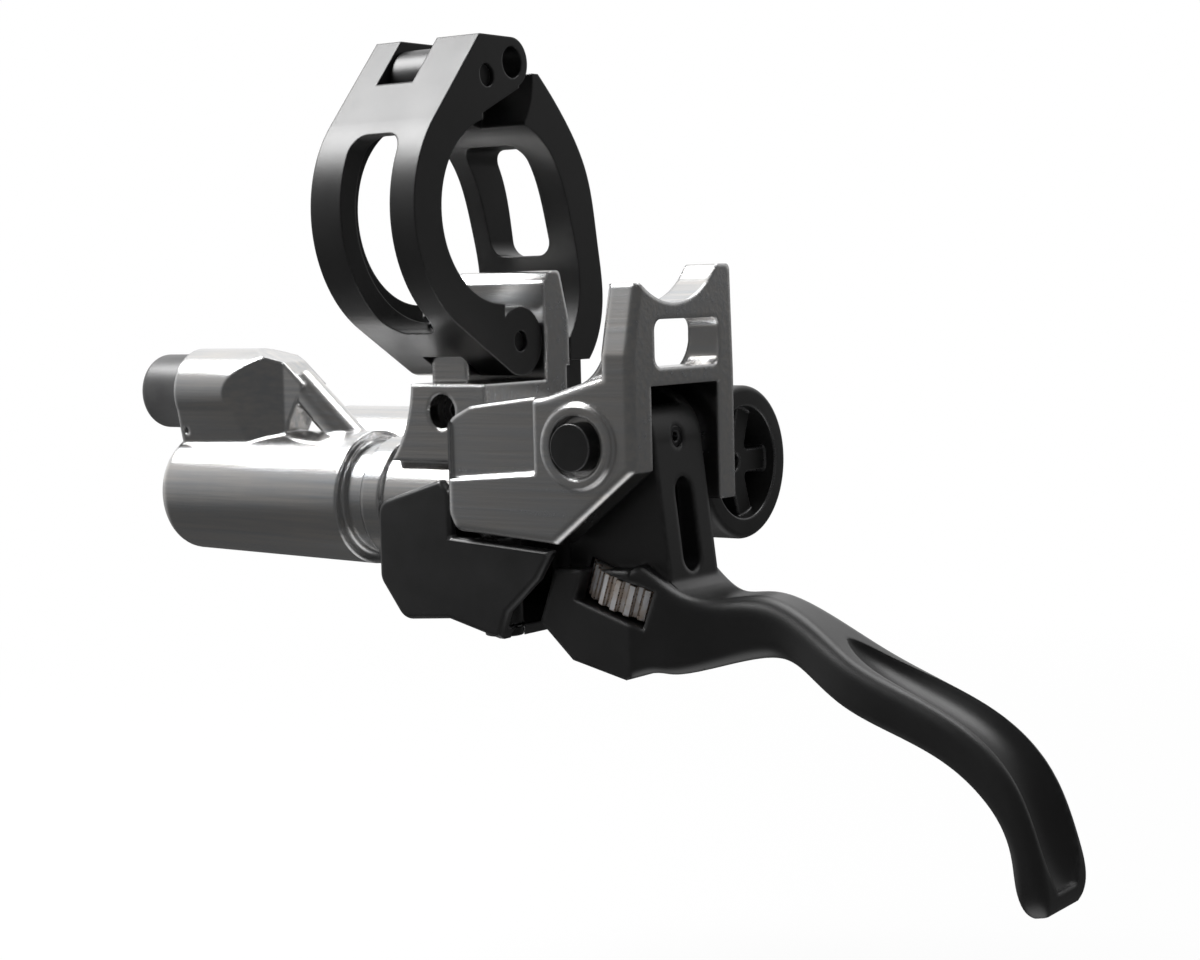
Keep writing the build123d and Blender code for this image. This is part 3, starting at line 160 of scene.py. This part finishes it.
class Value:
    """A socket whose operators add Math nodes to its tree."""

    def __init__(self, finish, socket):
        self.finish = finish
        self.socket = socket

    def math(self, operation, first, second):
        return self.finish.node("ShaderNodeMath", {"operation": operation}, {0: first, 1: second})

    def __add__(self, other):
        return self.math("ADD", self, other)

    __radd__ = __add__

    def __sub__(self, other):
        return self.math("SUBTRACT", self, other)

    def __rsub__(self, other):
        return self.math("SUBTRACT", other, self)

    def __mul__(self, other):
        return self.math("MULTIPLY", self, other)

    __rmul__ = __mul__

    def at_most(self, other):
        return self.math("MINIMUM", self, other)

    def at_least(self, other):
        return self.math("MAXIMUM", self, other)

    def held(self):
        """The number held between 0 and 1."""
        return self.at_least(0.0).at_most(1.0)

    def share(self, low, high):
        """How far the number has come from low to high, held between 0 and 1."""
        return ((self - low) * (1.0 / (high - low))).held()


EDGE_SAMPLES = 6
EDGE_LEAN = 0.125


class Finish:
    """One material or world: its node tree and the means to add nodes to it."""

    def __init__(self, owner):
        owner.use_nodes = True
        self.owner = owner
        self.tree = owner.node_tree
        self.tree.nodes.clear()

    def node(self, kind, settings=None, sockets=None, out=0):
        """Adds a node: its settings first, then the values or links of its sockets.

        out is the output that comes back, or a tuple of several."""
        made = self.tree.nodes.new(kind)
        for key, value in (settings or {}).items():
            setattr(made, key, value)
        for key, value in (sockets or {}).items():
            if isinstance(value, Value):
                self.tree.links.new(value.socket, made.inputs[key])
            else:
                made.inputs[key].default_value = value
        if isinstance(out, tuple):
            return tuple(Value(self, made.outputs[name]) for name in out)
        return Value(self, made.outputs[out])

    def place(self):
        return self.node("ShaderNodeTexCoord", out="Object")

    def dot(self, first, second):
        """Dot product of two vectors."""
        dot = {"operation": "DOT_PRODUCT"}
        return self.node("ShaderNodeVectorMath", dot, {0: first, 1: second}, out="Value")

    def noise(self, scale, detail=2.0, stretch=(1.0, 1.0, 1.0)):
        """Noise on Object coordinates: scale is in cells per metre, stretch scales each axis first."""
        spread = self.node("ShaderNodeMapping", sockets={"Vector": self.place(), "Scale": stretch})
        return self.node("ShaderNodeTexNoise", sockets={"Vector": spread, "Scale": scale, "Detail": detail})

    def between(self, share, first, second):
        """Mix of two colours by a number, held between 0 and 1."""
        mix = {"data_type": "RGBA", "blend_type": "MIX", "clamp_factor": True}
        return self.node("ShaderNodeMix", mix, {0: share, 6: first, 7: second}, out=2)

    def rounded(self, radius):
        """Normals that turn smoothly over the sharp edges, within a radius of them."""
        return self.node("ShaderNodeBevel", {"samples": EDGE_SAMPLES}, {"Radius": radius})

    def edge_share(self, rounded):
        """1 at a sharp edge and 0 away from it: how far the rounded normal leans from the face's own."""
        own = self.node("ShaderNodeNewGeometry", out="Normal")
        return (1.0 - self.dot(own, rounded)).share(0.0, EDGE_LEAN)

    def bump(self, height, distance, **normal):
        """Normals tilted by a height in units of a distance in metres."""
        sockets = {"Strength": 1.0, "Distance": distance, "Height": height, **normal}
        return self.node("ShaderNodeBump", {}, sockets)

    def rays(self):
        """Three numbers, 1 for a ray straight from the camera, a mirrored one and one through glass."""
        return self.node("ShaderNodeLightPath", out=("Is Camera Ray", "Is Glossy Ray", "Is Transmission Ray"))

    def surface(self, shader, kind="ShaderNodeOutputMaterial"):
        """Ends the tree with a shader."""
        self.node(kind, {}, {"Surface": shader}, out=())

    def principled(self, sockets):
        """Ends the tree with a Principled shader with these sockets."""
        self.surface(self.node("ShaderNodeBsdfPrincipled", {}, sockets))


def shade(colour, *factors):
    """A colour with its parts scaled by one factor or by one each, with full alpha."""
    shares = factors if len(factors) == 3 else factors * 3
    return tuple(min(1.0, part * share) for part, share in zip(colour, shares)) + (1.0,)


PATCH_WEIGHT = 0.7
PATCH_RANGE = (0.25, 0.75)


def coloured(name, colour, rough, grain, metal=0.0, gloss=0.5, lift=1.6, patch=240.0):
    """A finish whose colour drifts in soft patches, with roughness from two noises and a fine bump.

    rough is (least, most); grain is (cells per metre, height in metres)."""
    finish = Finish(bpy.data.materials.new(name))
    soft = finish.noise(patch, 3.0)
    fine = finish.noise(grain[0])
    drift = (soft * PATCH_WEIGHT + fine * (1.0 - PATCH_WEIGHT)).share(*PATCH_RANGE)
    least, most = rough
    finish.principled(
        {
            "Base Color": finish.between(drift, shade(colour, 1.0 / lift), shade(colour, lift)),
            "Roughness": (fine + soft) * ((most - least) / 2.0) + least,
            "Metallic": metal,
            "Specular IOR Level": gloss,
            "Normal": finish.bump(fine, grain[1]),
        }
    )
    return finish.owner


BLACK_PATCH = 160.0
BLACK_RUB = 1500.0
BLACK_RUB_RANGE = (0.35, 0.75)
BLACK_LEAST_EDGE_HIGHLIGHT = 0.15
BLACK_DARK = 0.7
BLACK_LIGHT = 1.5
BLACK_ROUGH = 0.24
BLACK_PATCH_ROUGH = 0.12
BLACK_GRAIN_ROUGH = 0.08
BLACK_RUB_ROUGH = 0.04
BLACK_EDGE_SHINE = 0.06


def satin_black(name, colour, wear_and_highlight, radius, grain, gloss):
    """Satin black whose sharp edges are rounded in the light and painted lighter: edge wear in patches and a
    faint painted highlight along every edge.

    grain is (cells per metre, height in metres)."""
    finish = Finish(bpy.data.materials.new(name))
    soft = finish.noise(BLACK_PATCH, 3.0)
    fine = finish.noise(grain[0])
    rub = finish.noise(BLACK_RUB, 3.0)
    rounded = finish.rounded(radius)
    # Painted highlight: every sharp edge is lighter by a least share, and more in patches of edge wear.
    edge = finish.edge_share(rounded) * rub.share(*BLACK_RUB_RANGE).at_least(BLACK_LEAST_EDGE_HIGHLIGHT)
    black = finish.between(soft, shade(colour, BLACK_DARK), shade(colour, BLACK_LIGHT))
    rough = soft * BLACK_PATCH_ROUGH + fine * BLACK_GRAIN_ROUGH + rub * BLACK_RUB_ROUGH + BLACK_ROUGH
    finish.principled(
        {
            "Base Color": finish.between(edge, black, shade(wear_and_highlight, 1.0)),
            "Roughness": rough - edge * BLACK_EDGE_SHINE,
            "Specular IOR Level": gloss,
            "Normal": finish.bump(fine, grain[1], Normal=rounded),
        }
    )
    return finish.owner


BLOCK_START = 0.001
BLOCK_FULL = 0.007
HAZE = 120.0
POLISH_GRAIN = 5200.0
POLISH_RUB = 1400.0
RUB_STRETCH = (0.03, 1.0, 1.0)
STREAK_GAIN = 1.6
WARM_CAST = (1.0816, 1.04, 0.988)
COOL_CAST = (0.7896, 0.8148, 0.84)
EDGE_HIGHLIGHT_CAST = 1.25
EDGE_HIGHLIGHT_WEIGHT = 0.7
RUB_HEIGHT = 14.0
POLISH_DEPTH = 0.0000015
POLISH_ROUGH = 0.04
HAZE_ROUGH = 0.10
RUB_ROUGH = 0.14
GRAIN_ROUGH = 0.04
BLOCK_ROUGH = 0.06
EDGE_SHINE = 0.04


def polished(name, colour, radius):
    """Polished forging: bright along the cylinder and satin on the block, with haze and rubbing marks."""
    finish = Finish(bpy.data.materials.new(name))
    haze = finish.noise(HAZE, 4.0)
    grain = finish.noise(POLISH_GRAIN)
    rub = finish.noise(POLISH_RUB, 3.0, RUB_STRETCH)
    block = finish.dot(finish.place(), (1.0, 0.0, 0.0)).share(BLOCK_START, BLOCK_FULL)
    rounded = finish.rounded(radius)
    edge = finish.edge_share(rounded)
    streak = ((rub - 0.5) * STREAK_GAIN + haze).held()
    metal = finish.between(streak, shade(colour, *WARM_CAST), shade(colour, *COOL_CAST))
    rough = haze * HAZE_ROUGH + rub * RUB_ROUGH + grain * GRAIN_ROUGH + block * BLOCK_ROUGH + POLISH_ROUGH
    finish.principled(
        {
            # Base colour painted lighter along the sharp edges: a painted highlight, with some edge wear.
            "Base Color": finish.between(edge * EDGE_HIGHLIGHT_WEIGHT, metal, shade(colour, EDGE_HIGHLIGHT_CAST)),
            "Roughness": rough - edge * EDGE_SHINE,
            "Metallic": 1.0,
            "Normal": finish.bump(grain + rub * RUB_HEIGHT, POLISH_DEPTH, Normal=rounded),
        }
    )
    return finish.owner


WHEEL_PATCH = 520.0
WHEEL_PATCH_RANGE = (0.45, 0.65)
WHEEL_GRAIN = 4200.0
WHEEL_DEPTH = 0.000002
WHEEL_ROUGH = 0.30
WHEEL_GRAIN_ROUGH = 0.16
WHEEL_METAL = 0.55


def toothed(name, grey, brown):
    """Turned and plated wheel: grey that goes brown in patches between the teeth."""
    finish = Finish(bpy.data.materials.new(name))
    brownness = finish.noise(WHEEL_PATCH).share(*WHEEL_PATCH_RANGE)
    grain = finish.noise(WHEEL_GRAIN)
    finish.principled(
        {
            "Base Color": finish.between(brownness, shade(grey, 1.0), shade(brown, 1.0)),
            "Roughness": grain * WHEEL_GRAIN_ROUGH + WHEEL_ROUGH,
            "Metallic": WHEEL_METAL,
            "Normal": finish.bump(grain, WHEEL_DEPTH),
        }
    )
    return finish.owner


finishes = {}
EDGE = "_edge"
EDGE_FINISH_ROUGH = (0.22, 0.34)
EDGE_FINISH_GRAIN = (6000.0, 0.000002)
EDGE_FINISH_GLOSS = 1.0
EDGE_FINISH_LIFT = 1.3
EDGE_FINISH_PATCH = 1800.0


def make_finishes(colours, edges):
    """All finishes by the record's slot names, and the edge finishes of some of them: a lighter black on the
    black ones, part edge wear and part painted highlight, and brown on the wheel.
    """
    finishes["polished_alloy"] = polished("polished_alloy_finish", colours.alloy, edges.forged)
    for slot, colour, radius, grain, gloss in (
        ("black_lever", colours.lever, edges.lever, (9000.0, 0.000004), 0.8),
        ("black_clamp", colours.clamp, edges.clamp, (7800.0, 0.000009), 0.9),
    ):
        finishes[slot] = satin_black(slot + "_finish", colour, colours.wear_and_highlight, radius, grain, gloss)
    finishes["wheel_steel"] = toothed("wheel_finish", colours.wheel, colours.bronze)
    for slot, colour, rough, grain, metal, gloss in (
        ("black_cover", colours.cover, (0.33, 0.46), (8200.0, 0.000006), 0.0, 0.7),
        ("black_dial", colours.dial, (0.36, 0.50), (8200.0, 0.000006), 0.0, 0.6),
        ("dark_fitting", colours.fitting, (0.32, 0.44), (6400.0, 0.000006), 0.0, 0.9),
        ("black_steel", colours.lever, (0.32, 0.44), (6000.0, 0.000003), 0.0, 0.5),
        ("plain_steel", colours.steel, (0.20, 0.34), (5200.0, 0.000002), 1.0, 0.5),
        ("inner_plastic", colours.plastic, (0.42, 0.56), (6800.0, 0.000008), 0.0, 0.5),
        ("seal_rubber", colours.rubber, (0.55, 0.72), (7200.0, 0.000012), 0.0, 0.4),
    ):
        finishes[slot] = coloured(slot + "_finish", colour, rough, grain, metal, gloss)
    # Edge finishes for the rounded bevels: the black ones are a lighter black, part edge wear and part
    # painted highlight; the wheel's are its brown.
    for slot, colour, metal in (
        ("wheel_steel", colours.bronze, 1.0),
        ("black_cover", colours.wear_and_highlight, 0.0),
        ("black_dial", colours.wear_and_highlight, 0.0),
        ("black_steel", colours.wear_and_highlight, 0.0),
        ("dark_fitting", colours.wear_and_highlight, 0.0),
    ):
        edge = slot + EDGE
        finishes[edge] = coloured(
            edge + "_finish",
            colour,
            EDGE_FINISH_ROUGH,
            EDGE_FINISH_GRAIN,
            metal,
            EDGE_FINISH_GLOSS,
            EDGE_FINISH_LIFT,
            EDGE_FINISH_PATCH,
        )


CORNER_STEPS = 1e6


def merged_shell(node):
    """Vertices and triangles of a CAD node with its doubled corners joined.

    Corners are rounded to a micrometre, equal ones get one index, and triangles that lose a corner go."""
    mesh = frame["nodes"][node].data
    corners = np.empty(len(mesh.vertices) * 3, np.float32)
    mesh.vertices.foreach_get("co", corners)
    mesh.calc_loop_triangles()
    triangles = np.empty(len(mesh.loop_triangles) * 3, np.int32)
    mesh.loop_triangles.foreach_get("vertices", triangles)
    keys = np.round(corners.reshape(-1, 3) * CORNER_STEPS).astype(np.int64)
    _, first, index = np.unique(keys, axis=0, return_index=True, return_inverse=True)
    faces = index.reshape(-1)[triangles.reshape(-1, 3)]
    whole = (faces[:, 0] != faces[:, 1]) & (faces[:, 1] != faces[:, 2]) & (faces[:, 2] != faces[:, 0])
    return corners.reshape(-1, 3)[first], faces[whole]


def merged_piece(node, ending):
    """A new object with the merged mesh of a CAD node, named for the node and an ending."""
    corners, faces = merged_shell(node)
    mesh = bpy.data.meshes.new(node + ending)
    mesh.from_pydata(corners.tolist(), [], faces.tolist())
    piece = bpy.data.objects.new(node + ending, mesh)
    bpy.context.scene.collection.objects.link(piece)
    return piece


def stand_for(piece, node, body, slot):
    """Puts a piece in the place of a CAD node, on a body and with a slot's finish."""
    piece.data.materials.append(finishes[slot])
    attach(piece, body)
    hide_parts(node)


FLAT = math.radians(0.6)
SHARP = math.radians(32.0)
ACUTE = math.radians(40.0)
STEPS = 2


def round_edges(shell):
    """Marks the sharp edges of a mesh for rounding, but not where two of them meet in a narrow point."""
    mark = shell.edges.layers.float.new("bevel_weight_edge")
    sharp = {edge for edge in shell.edges if edge.is_manifold and edge.calc_face_angle() > SHARP}
    narrow = set()
    for corner in {corner for edge in sharp for corner in edge.verts}:
        ways = [edge.other_vert(corner).co - corner.co for edge in corner.link_edges if edge in sharp]
        if any(first.angle(second) < ACUTE for first, second in combinations(ways, 2)):
            narrow.add(corner)
    for edge in sharp:
        edge[mark] = 0.0 if narrow & set(edge.verts) else 1.0


def soften(node, slot, width):
    """A merged copy of a CAD node with its flat faces joined and its sharp edges rounded to a width."""
    piece = merged_piece(node, "_soft")
    mesh = piece.data
    shell = bmesh.new()
    shell.from_mesh(mesh)
    bmesh.ops.dissolve_limit(
        shell, angle_limit=FLAT, use_dissolve_boundaries=False, verts=shell.verts, edges=shell.edges
    )
    round_edges(shell)
    shell.to_mesh(mesh)
    shell.free()
    mesh.shade_smooth()
    mesh.set_sharp_from_angle(angle=SHARP)
    bevel = piece.modifiers.new("soft_edges", "BEVEL")
    bevel.width = width
    bevel.segments = STEPS
    bevel.limit_method = "WEIGHT"
    bevel.use_clamp_overlap = False
    bevel.loop_slide = False
    bevel.miter_outer = "MITER_ARC"
    bevel.harden_normals = True
    # The rounded edges take the slot's edge finish, which on black pieces is painted lighter: part wear, part
    # painted highlight.
    bevel.material = 1
    stand_for(piece, node, frame["nodes"][node]["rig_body"], slot)
    mesh.materials.append(finishes[slot + EDGE])


def shorten(node, slot, joint):
    """A merged copy of a spring, smooth shaded, on the parent body of its slide; the share of its length kept
    at full travel is worked out, but nothing shortens it.
    """
    piece = merged_piece(node, "_coil")
    piece.data.shade_smooth()
    low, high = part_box(node)
    travel = next(item for item in frame["record"]["behaviour"]["joints"] if item["name"] == joint)
    stand_for(piece, node, travel["parent"], slot)
    keep = 1.0 - travel["range_m"][1] / (high[0] - low[0])
    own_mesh(piece)


def dress(node, slot):
    """A CAD node that keeps its own shape and gets a finish."""
    mesh = frame["nodes"][node].data
    mesh.materials.clear()
    mesh.materials.append(finishes[slot])


class BRAKE_OT_finishes(Operator):
    """Makes every finish that the pieces use"""

    bl_idname = "brake.finishes"
    bl_label = "Finishes"

    def execute(self, context):
        make_finishes(context.scene.brake_colours, context.scene.brake_edges)
        return {"FINISHED"}


class BRAKE_OT_body(Operator):
    """Polished one-piece body"""

    bl_idname = "brake.body"
    bl_label = "Body"

    def execute(self, context):
        dress("main_body", "polished_alloy")
        return {"FINISHED"}


class BRAKE_OT_clamp(Operator):
    """Bar clamp: near half, hinged arm, their pins and the bolt"""

    bl_idname = "brake.clamp"
    bl_label = "Bar clamp"

    def execute(self, context):
        edges = context.scene.brake_edges
        dress("clamp_left", "black_clamp")
        dress("clamp_arm", "black_clamp")
        for node in ("upper_hinge_pin", "lower_hinge_pin", "clamp_bolt"):
            soften(node, "black_steel", edges.small)
        return {"FINISHED"}


class BRAKE_OT_lever(Operator):
    """Lever with its pivot, washers, lock screw and inner arm"""

    bl_idname = "brake.lever"
    bl_label = "Lever"

    def execute(self, context):
        edges = context.scene.brake_edges
        dress("lever_blade", "black_lever")
        soften("pivot_pin", "black_steel", edges.small)
        soften("pin_lock_screw", "black_steel", edges.small)
        dress("pivot_washers", "inner_plastic")
        dress("pull_arm", "plain_steel")
        return {"FINISHED"}


class BRAKE_OT_reach(Operator):
    """Toothed reach wheel and its screw"""

    bl_idname = "brake.reach"
    bl_label = "Reach wheel"

    def execute(self, context):
        soften("reach_wheel", "wheel_steel", context.scene.brake_edges.small)
        dress("reach_screw", "plain_steel")
        return {"FINISHED"}


class BRAKE_OT_cover(Operator):
    """Black lower cover and its two screws"""

    bl_idname = "brake.cover"
    bl_label = "Lower cover"

    def execute(self, context):
        edges = context.scene.brake_edges
        soften("lower_cover", "black_cover", edges.cover)
        soften("cover_screws", "black_steel", edges.small)
        return {"FINISHED"}


class BRAKE_OT_dial(Operator):
    """Contact dial with the plunger and the collar behind it"""

    bl_idname = "brake.dial"
    bl_label = "Contact dial"

    def execute(self, context):
        soften("contact_dial", "black_dial", context.scene.brake_edges.cover)
        dress("dial_plunger", "inner_plastic")
        dress("dial_collar", "inner_plastic")
        return {"FINISHED"}


class BRAKE_OT_hose_end(Operator):
    """Dark fitting in the hose boss"""

    bl_idname = "brake.hose_end"
    bl_label = "Hose fitting"

    def execute(self, context):
        soften("hose_fitting", "dark_fitting", context.scene.brake_edges.cover)
        return {"FINISHED"}


class BRAKE_OT_cylinder(Operator):
    """Cylinder parts held in the barrel"""

    bl_idname = "brake.cylinder"
    bl_label = "Cylinder parts"

    def execute(self, context):
        dress("barrel_plug", "black_steel")
        dress("piston", "inner_plastic")
        dress("piston_seals", "seal_rubber")
        for node in ("pull_rod", "rod_pin"):
            dress(node, "plain_steel")
        shorten("return_spring", "plain_steel", "piston_slide")
        return {"FINISHED"}


LAMP_AIM = (0.015, 0.0, -0.03)
KEY_PLACE = (-0.40, -0.21, 0.51)
KEY_SIZE = (0.45, 0.35)
KEY_WATTS = 4.8
TOP_PLACE = (0.05, 0.30, 0.70)
TOP_SIZE = (0.6, 0.4)
TOP_WATTS = 2.0


def soft_lamp(name, place, size, watts):
    """A rectangular soft lamp that looks at the object."""
    lamp = bpy.data.lights.new(name, "AREA")
    lamp.shape = "RECTANGLE"
    lamp.size, lamp.size_y = size
    lamp.energy = watts
    holder = bpy.data.objects.new(name, lamp)
    holder.location = place
    holder.rotation_mode = "QUATERNION"
    holder.rotation_quaternion = (Vector(LAMP_AIM) - Vector(place)).to_track_quat("-Z", "Y")
    bpy.context.scene.collection.objects.link(holder)


FLOOR_HALF = 3.0
PAPER = (0.85, 0.85, 0.85, 1.0)
GLOW_NEAR = 0.80
GLOW_RISE = 0.5


def make_floor(studio):
    """Flat square floor: corners at plus and minus a half width, at one height.

    Rays that show the backdrop see it glow, from a near share to white further away."""
    low = min(corner[2] for corner in cad_box) - studio.floor_drop
    spread = np.array([(-1, -1), (1, -1), (1, 1), (-1, 1)], float) * FLOOR_HALF
    corners = np.column_stack([spread, np.full(4, low)])
    mesh = bpy.data.meshes.new("floor")
    mesh.from_pydata(corners.tolist(), [], [(0, 1, 2, 3)])
    floor = bpy.data.objects.new("floor", mesh)
    bpy.context.scene.collection.objects.link(floor)
    floor.visible_glossy = False
    finish = Finish(bpy.data.materials.new("floor_paper"))
    paper = finish.node("ShaderNodeBsdfDiffuse", {}, {"Color": PAPER})
    glow = finish.node("ShaderNodeEmission", {}, {"Color": WHITE, "Strength": 1.0})
    away = finish.node("ShaderNodeVectorMath", {"operation": "LENGTH"}, {0: finish.place()}, out="Value")
    straight, glossy, glass = finish.rays()
    backdrop = straight.at_least(glossy).at_least(glass)
    share = backdrop * (away * GLOW_RISE + GLOW_NEAR).at_most(1.0)
    finish.surface(finish.node("ShaderNodeMixShader", {}, {0: share, 1: paper, 2: glow}))
    mesh.materials.append(finish.owner)


UP = (0.0, 0.0, 1.0)
BACK_WAY = (-0.75, 0.68, 0.45)
HORIZON = (-0.12, 0.08)
FRONT_WAY = (-1.0, 0.0, 0.5)
FRONT_DROP = 0.48
FRONT_LEAST = 0.08
FRONT_MOST = 0.6
GROUND_RISE = -4.0
GROUND_DROP = 2.9
GROUND_MOST = 0.9
FILL = 0.35


def make_world():
    """White backdrop for the camera, a plain fill on the object, and a shaped room for mirrored rays.

    The room is bright where a ray points the back way, above the horizon, and dim the front way. It glows
    straight down. Each term is the dot of the ray with a way, less a drop, and the brightest term counts."""
    world = bpy.data.worlds.new("studio")
    bpy.context.scene.world = world
    finish = Finish(world)
    ray = finish.node("ShaderNodeTexCoord", out="Generated")
    height = finish.dot(ray, UP)
    back = finish.dot(ray, BACK_WAY) * height.share(*HORIZON)
    front = (finish.dot(ray, FRONT_WAY) - FRONT_DROP).at_least(FRONT_LEAST).at_most(FRONT_MOST)
    ground = (height * GROUND_RISE - GROUND_DROP).at_most(GROUND_MOST)
    room = back.at_least(front).at_least(ground).at_most(1.0)
    straight, glossy, glass = finish.rays()
    strength = straight.at_least(glass).at_least(glossy * room).at_least((1.0 - glossy) * FILL)
    light = finish.node("ShaderNodeBackground", {}, {"Color": WHITE, "Strength": strength})
    finish.surface(light, "ShaderNodeOutputWorld")


PHOTO_WIDTH = 1200
SENSOR = 36.0
NEAREST = 0.01
FURTHEST = 50.0


def make_camera(studio):
    """Camera from its eye, azimuth, elevation and roll."""
    around, above, turn = studio.azimuth, studio.elevation, studio.roll
    back = Vector(
        (math.sin(around) * math.cos(above), -math.cos(around) * math.cos(above), math.sin(above))
    )
    right = Vector((math.cos(around), math.sin(around), 0.0))
    up = back.cross(right)
    side = right * math.cos(turn) + up * math.sin(turn)
    top = up * math.cos(turn) - right * math.sin(turn)
    camera = bpy.data.cameras.new("camera")
    camera.sensor_width = SENSOR
    camera.lens = studio.focal * SENSOR / PHOTO_WIDTH
    camera.clip_start = NEAREST
    camera.clip_end = FURTHEST
    holder = bpy.data.objects.new("camera", camera)
    matrix = Matrix((side, top, back)).transposed().to_4x4()
    matrix.translation = Vector(studio.eye)
    holder.matrix_world = matrix
    bpy.context.scene.collection.objects.link(holder)
    bpy.context.scene.camera = holder


class BRAKE_OT_stage(Operator):
    """Floor, soft lamps, backdrop and camera"""

    bl_idname = "brake.stage"
    bl_label = "Stage"

    def execute(self, context):
        studio = context.scene.brake_studio
        context.scene.view_settings.view_transform = "Standard"
        make_floor(studio)
        make_world()
        make_camera(studio)
        soft_lamp("key_lamp", KEY_PLACE, KEY_SIZE, KEY_WATTS)
        soft_lamp("top_lamp", TOP_PLACE, TOP_SIZE, TOP_WATTS)
        return {"FINISHED"}


PIECES = (
    BRAKE_OT_finishes,
    BRAKE_OT_body,
    BRAKE_OT_clamp,
    BRAKE_OT_lever,
    BRAKE_OT_reach,
    BRAKE_OT_cover,
    BRAKE_OT_dial,
    BRAKE_OT_hose_end,
    BRAKE_OT_cylinder,
    BRAKE_OT_stage,
)


class BRAKE_PT_panel(Panel):
    """Sizes, colours and the pieces in order"""

    bl_idname = "BRAKE_PT_panel"
    bl_label = "Brake lever"
    bl_space_type = "VIEW_3D"
    bl_region_type = "UI"
    bl_category = "Brake lever"

    def draw(self, context):
        scene = context.scene
        for group in (scene.brake_edges, scene.brake_colours, scene.brake_studio):
            box = self.layout.box()
            for key in group.__annotations__:
                box.prop(group, key)
        for piece in PIECES:
            self.layout.operator(piece.bl_idname)


CLASSES = (EdgeSizes, FinishColours, StudioSettings) + PIECES + (BRAKE_PT_panel,)


def register():
    for kind in CLASSES:
        bpy.utils.register_class(kind)
    bpy.types.Scene.brake_edges = PointerProperty(type=EdgeSizes)
    bpy.types.Scene.brake_colours = PointerProperty(type=FinishColours)
    bpy.types.Scene.brake_studio = PointerProperty(type=StudioSettings)


def unregister():
    del bpy.types.Scene.brake_studio
    del bpy.types.Scene.brake_colours
    del bpy.types.Scene.brake_edges
    for kind in reversed(CLASSES):
        bpy.utils.unregister_class(kind)


def main():
    register()
    for piece in PIECES:
        group, name = piece.bl_idname.split(".")
        getattr(getattr(bpy.ops, group), name)()


if __name__ == "__main__":
    main()
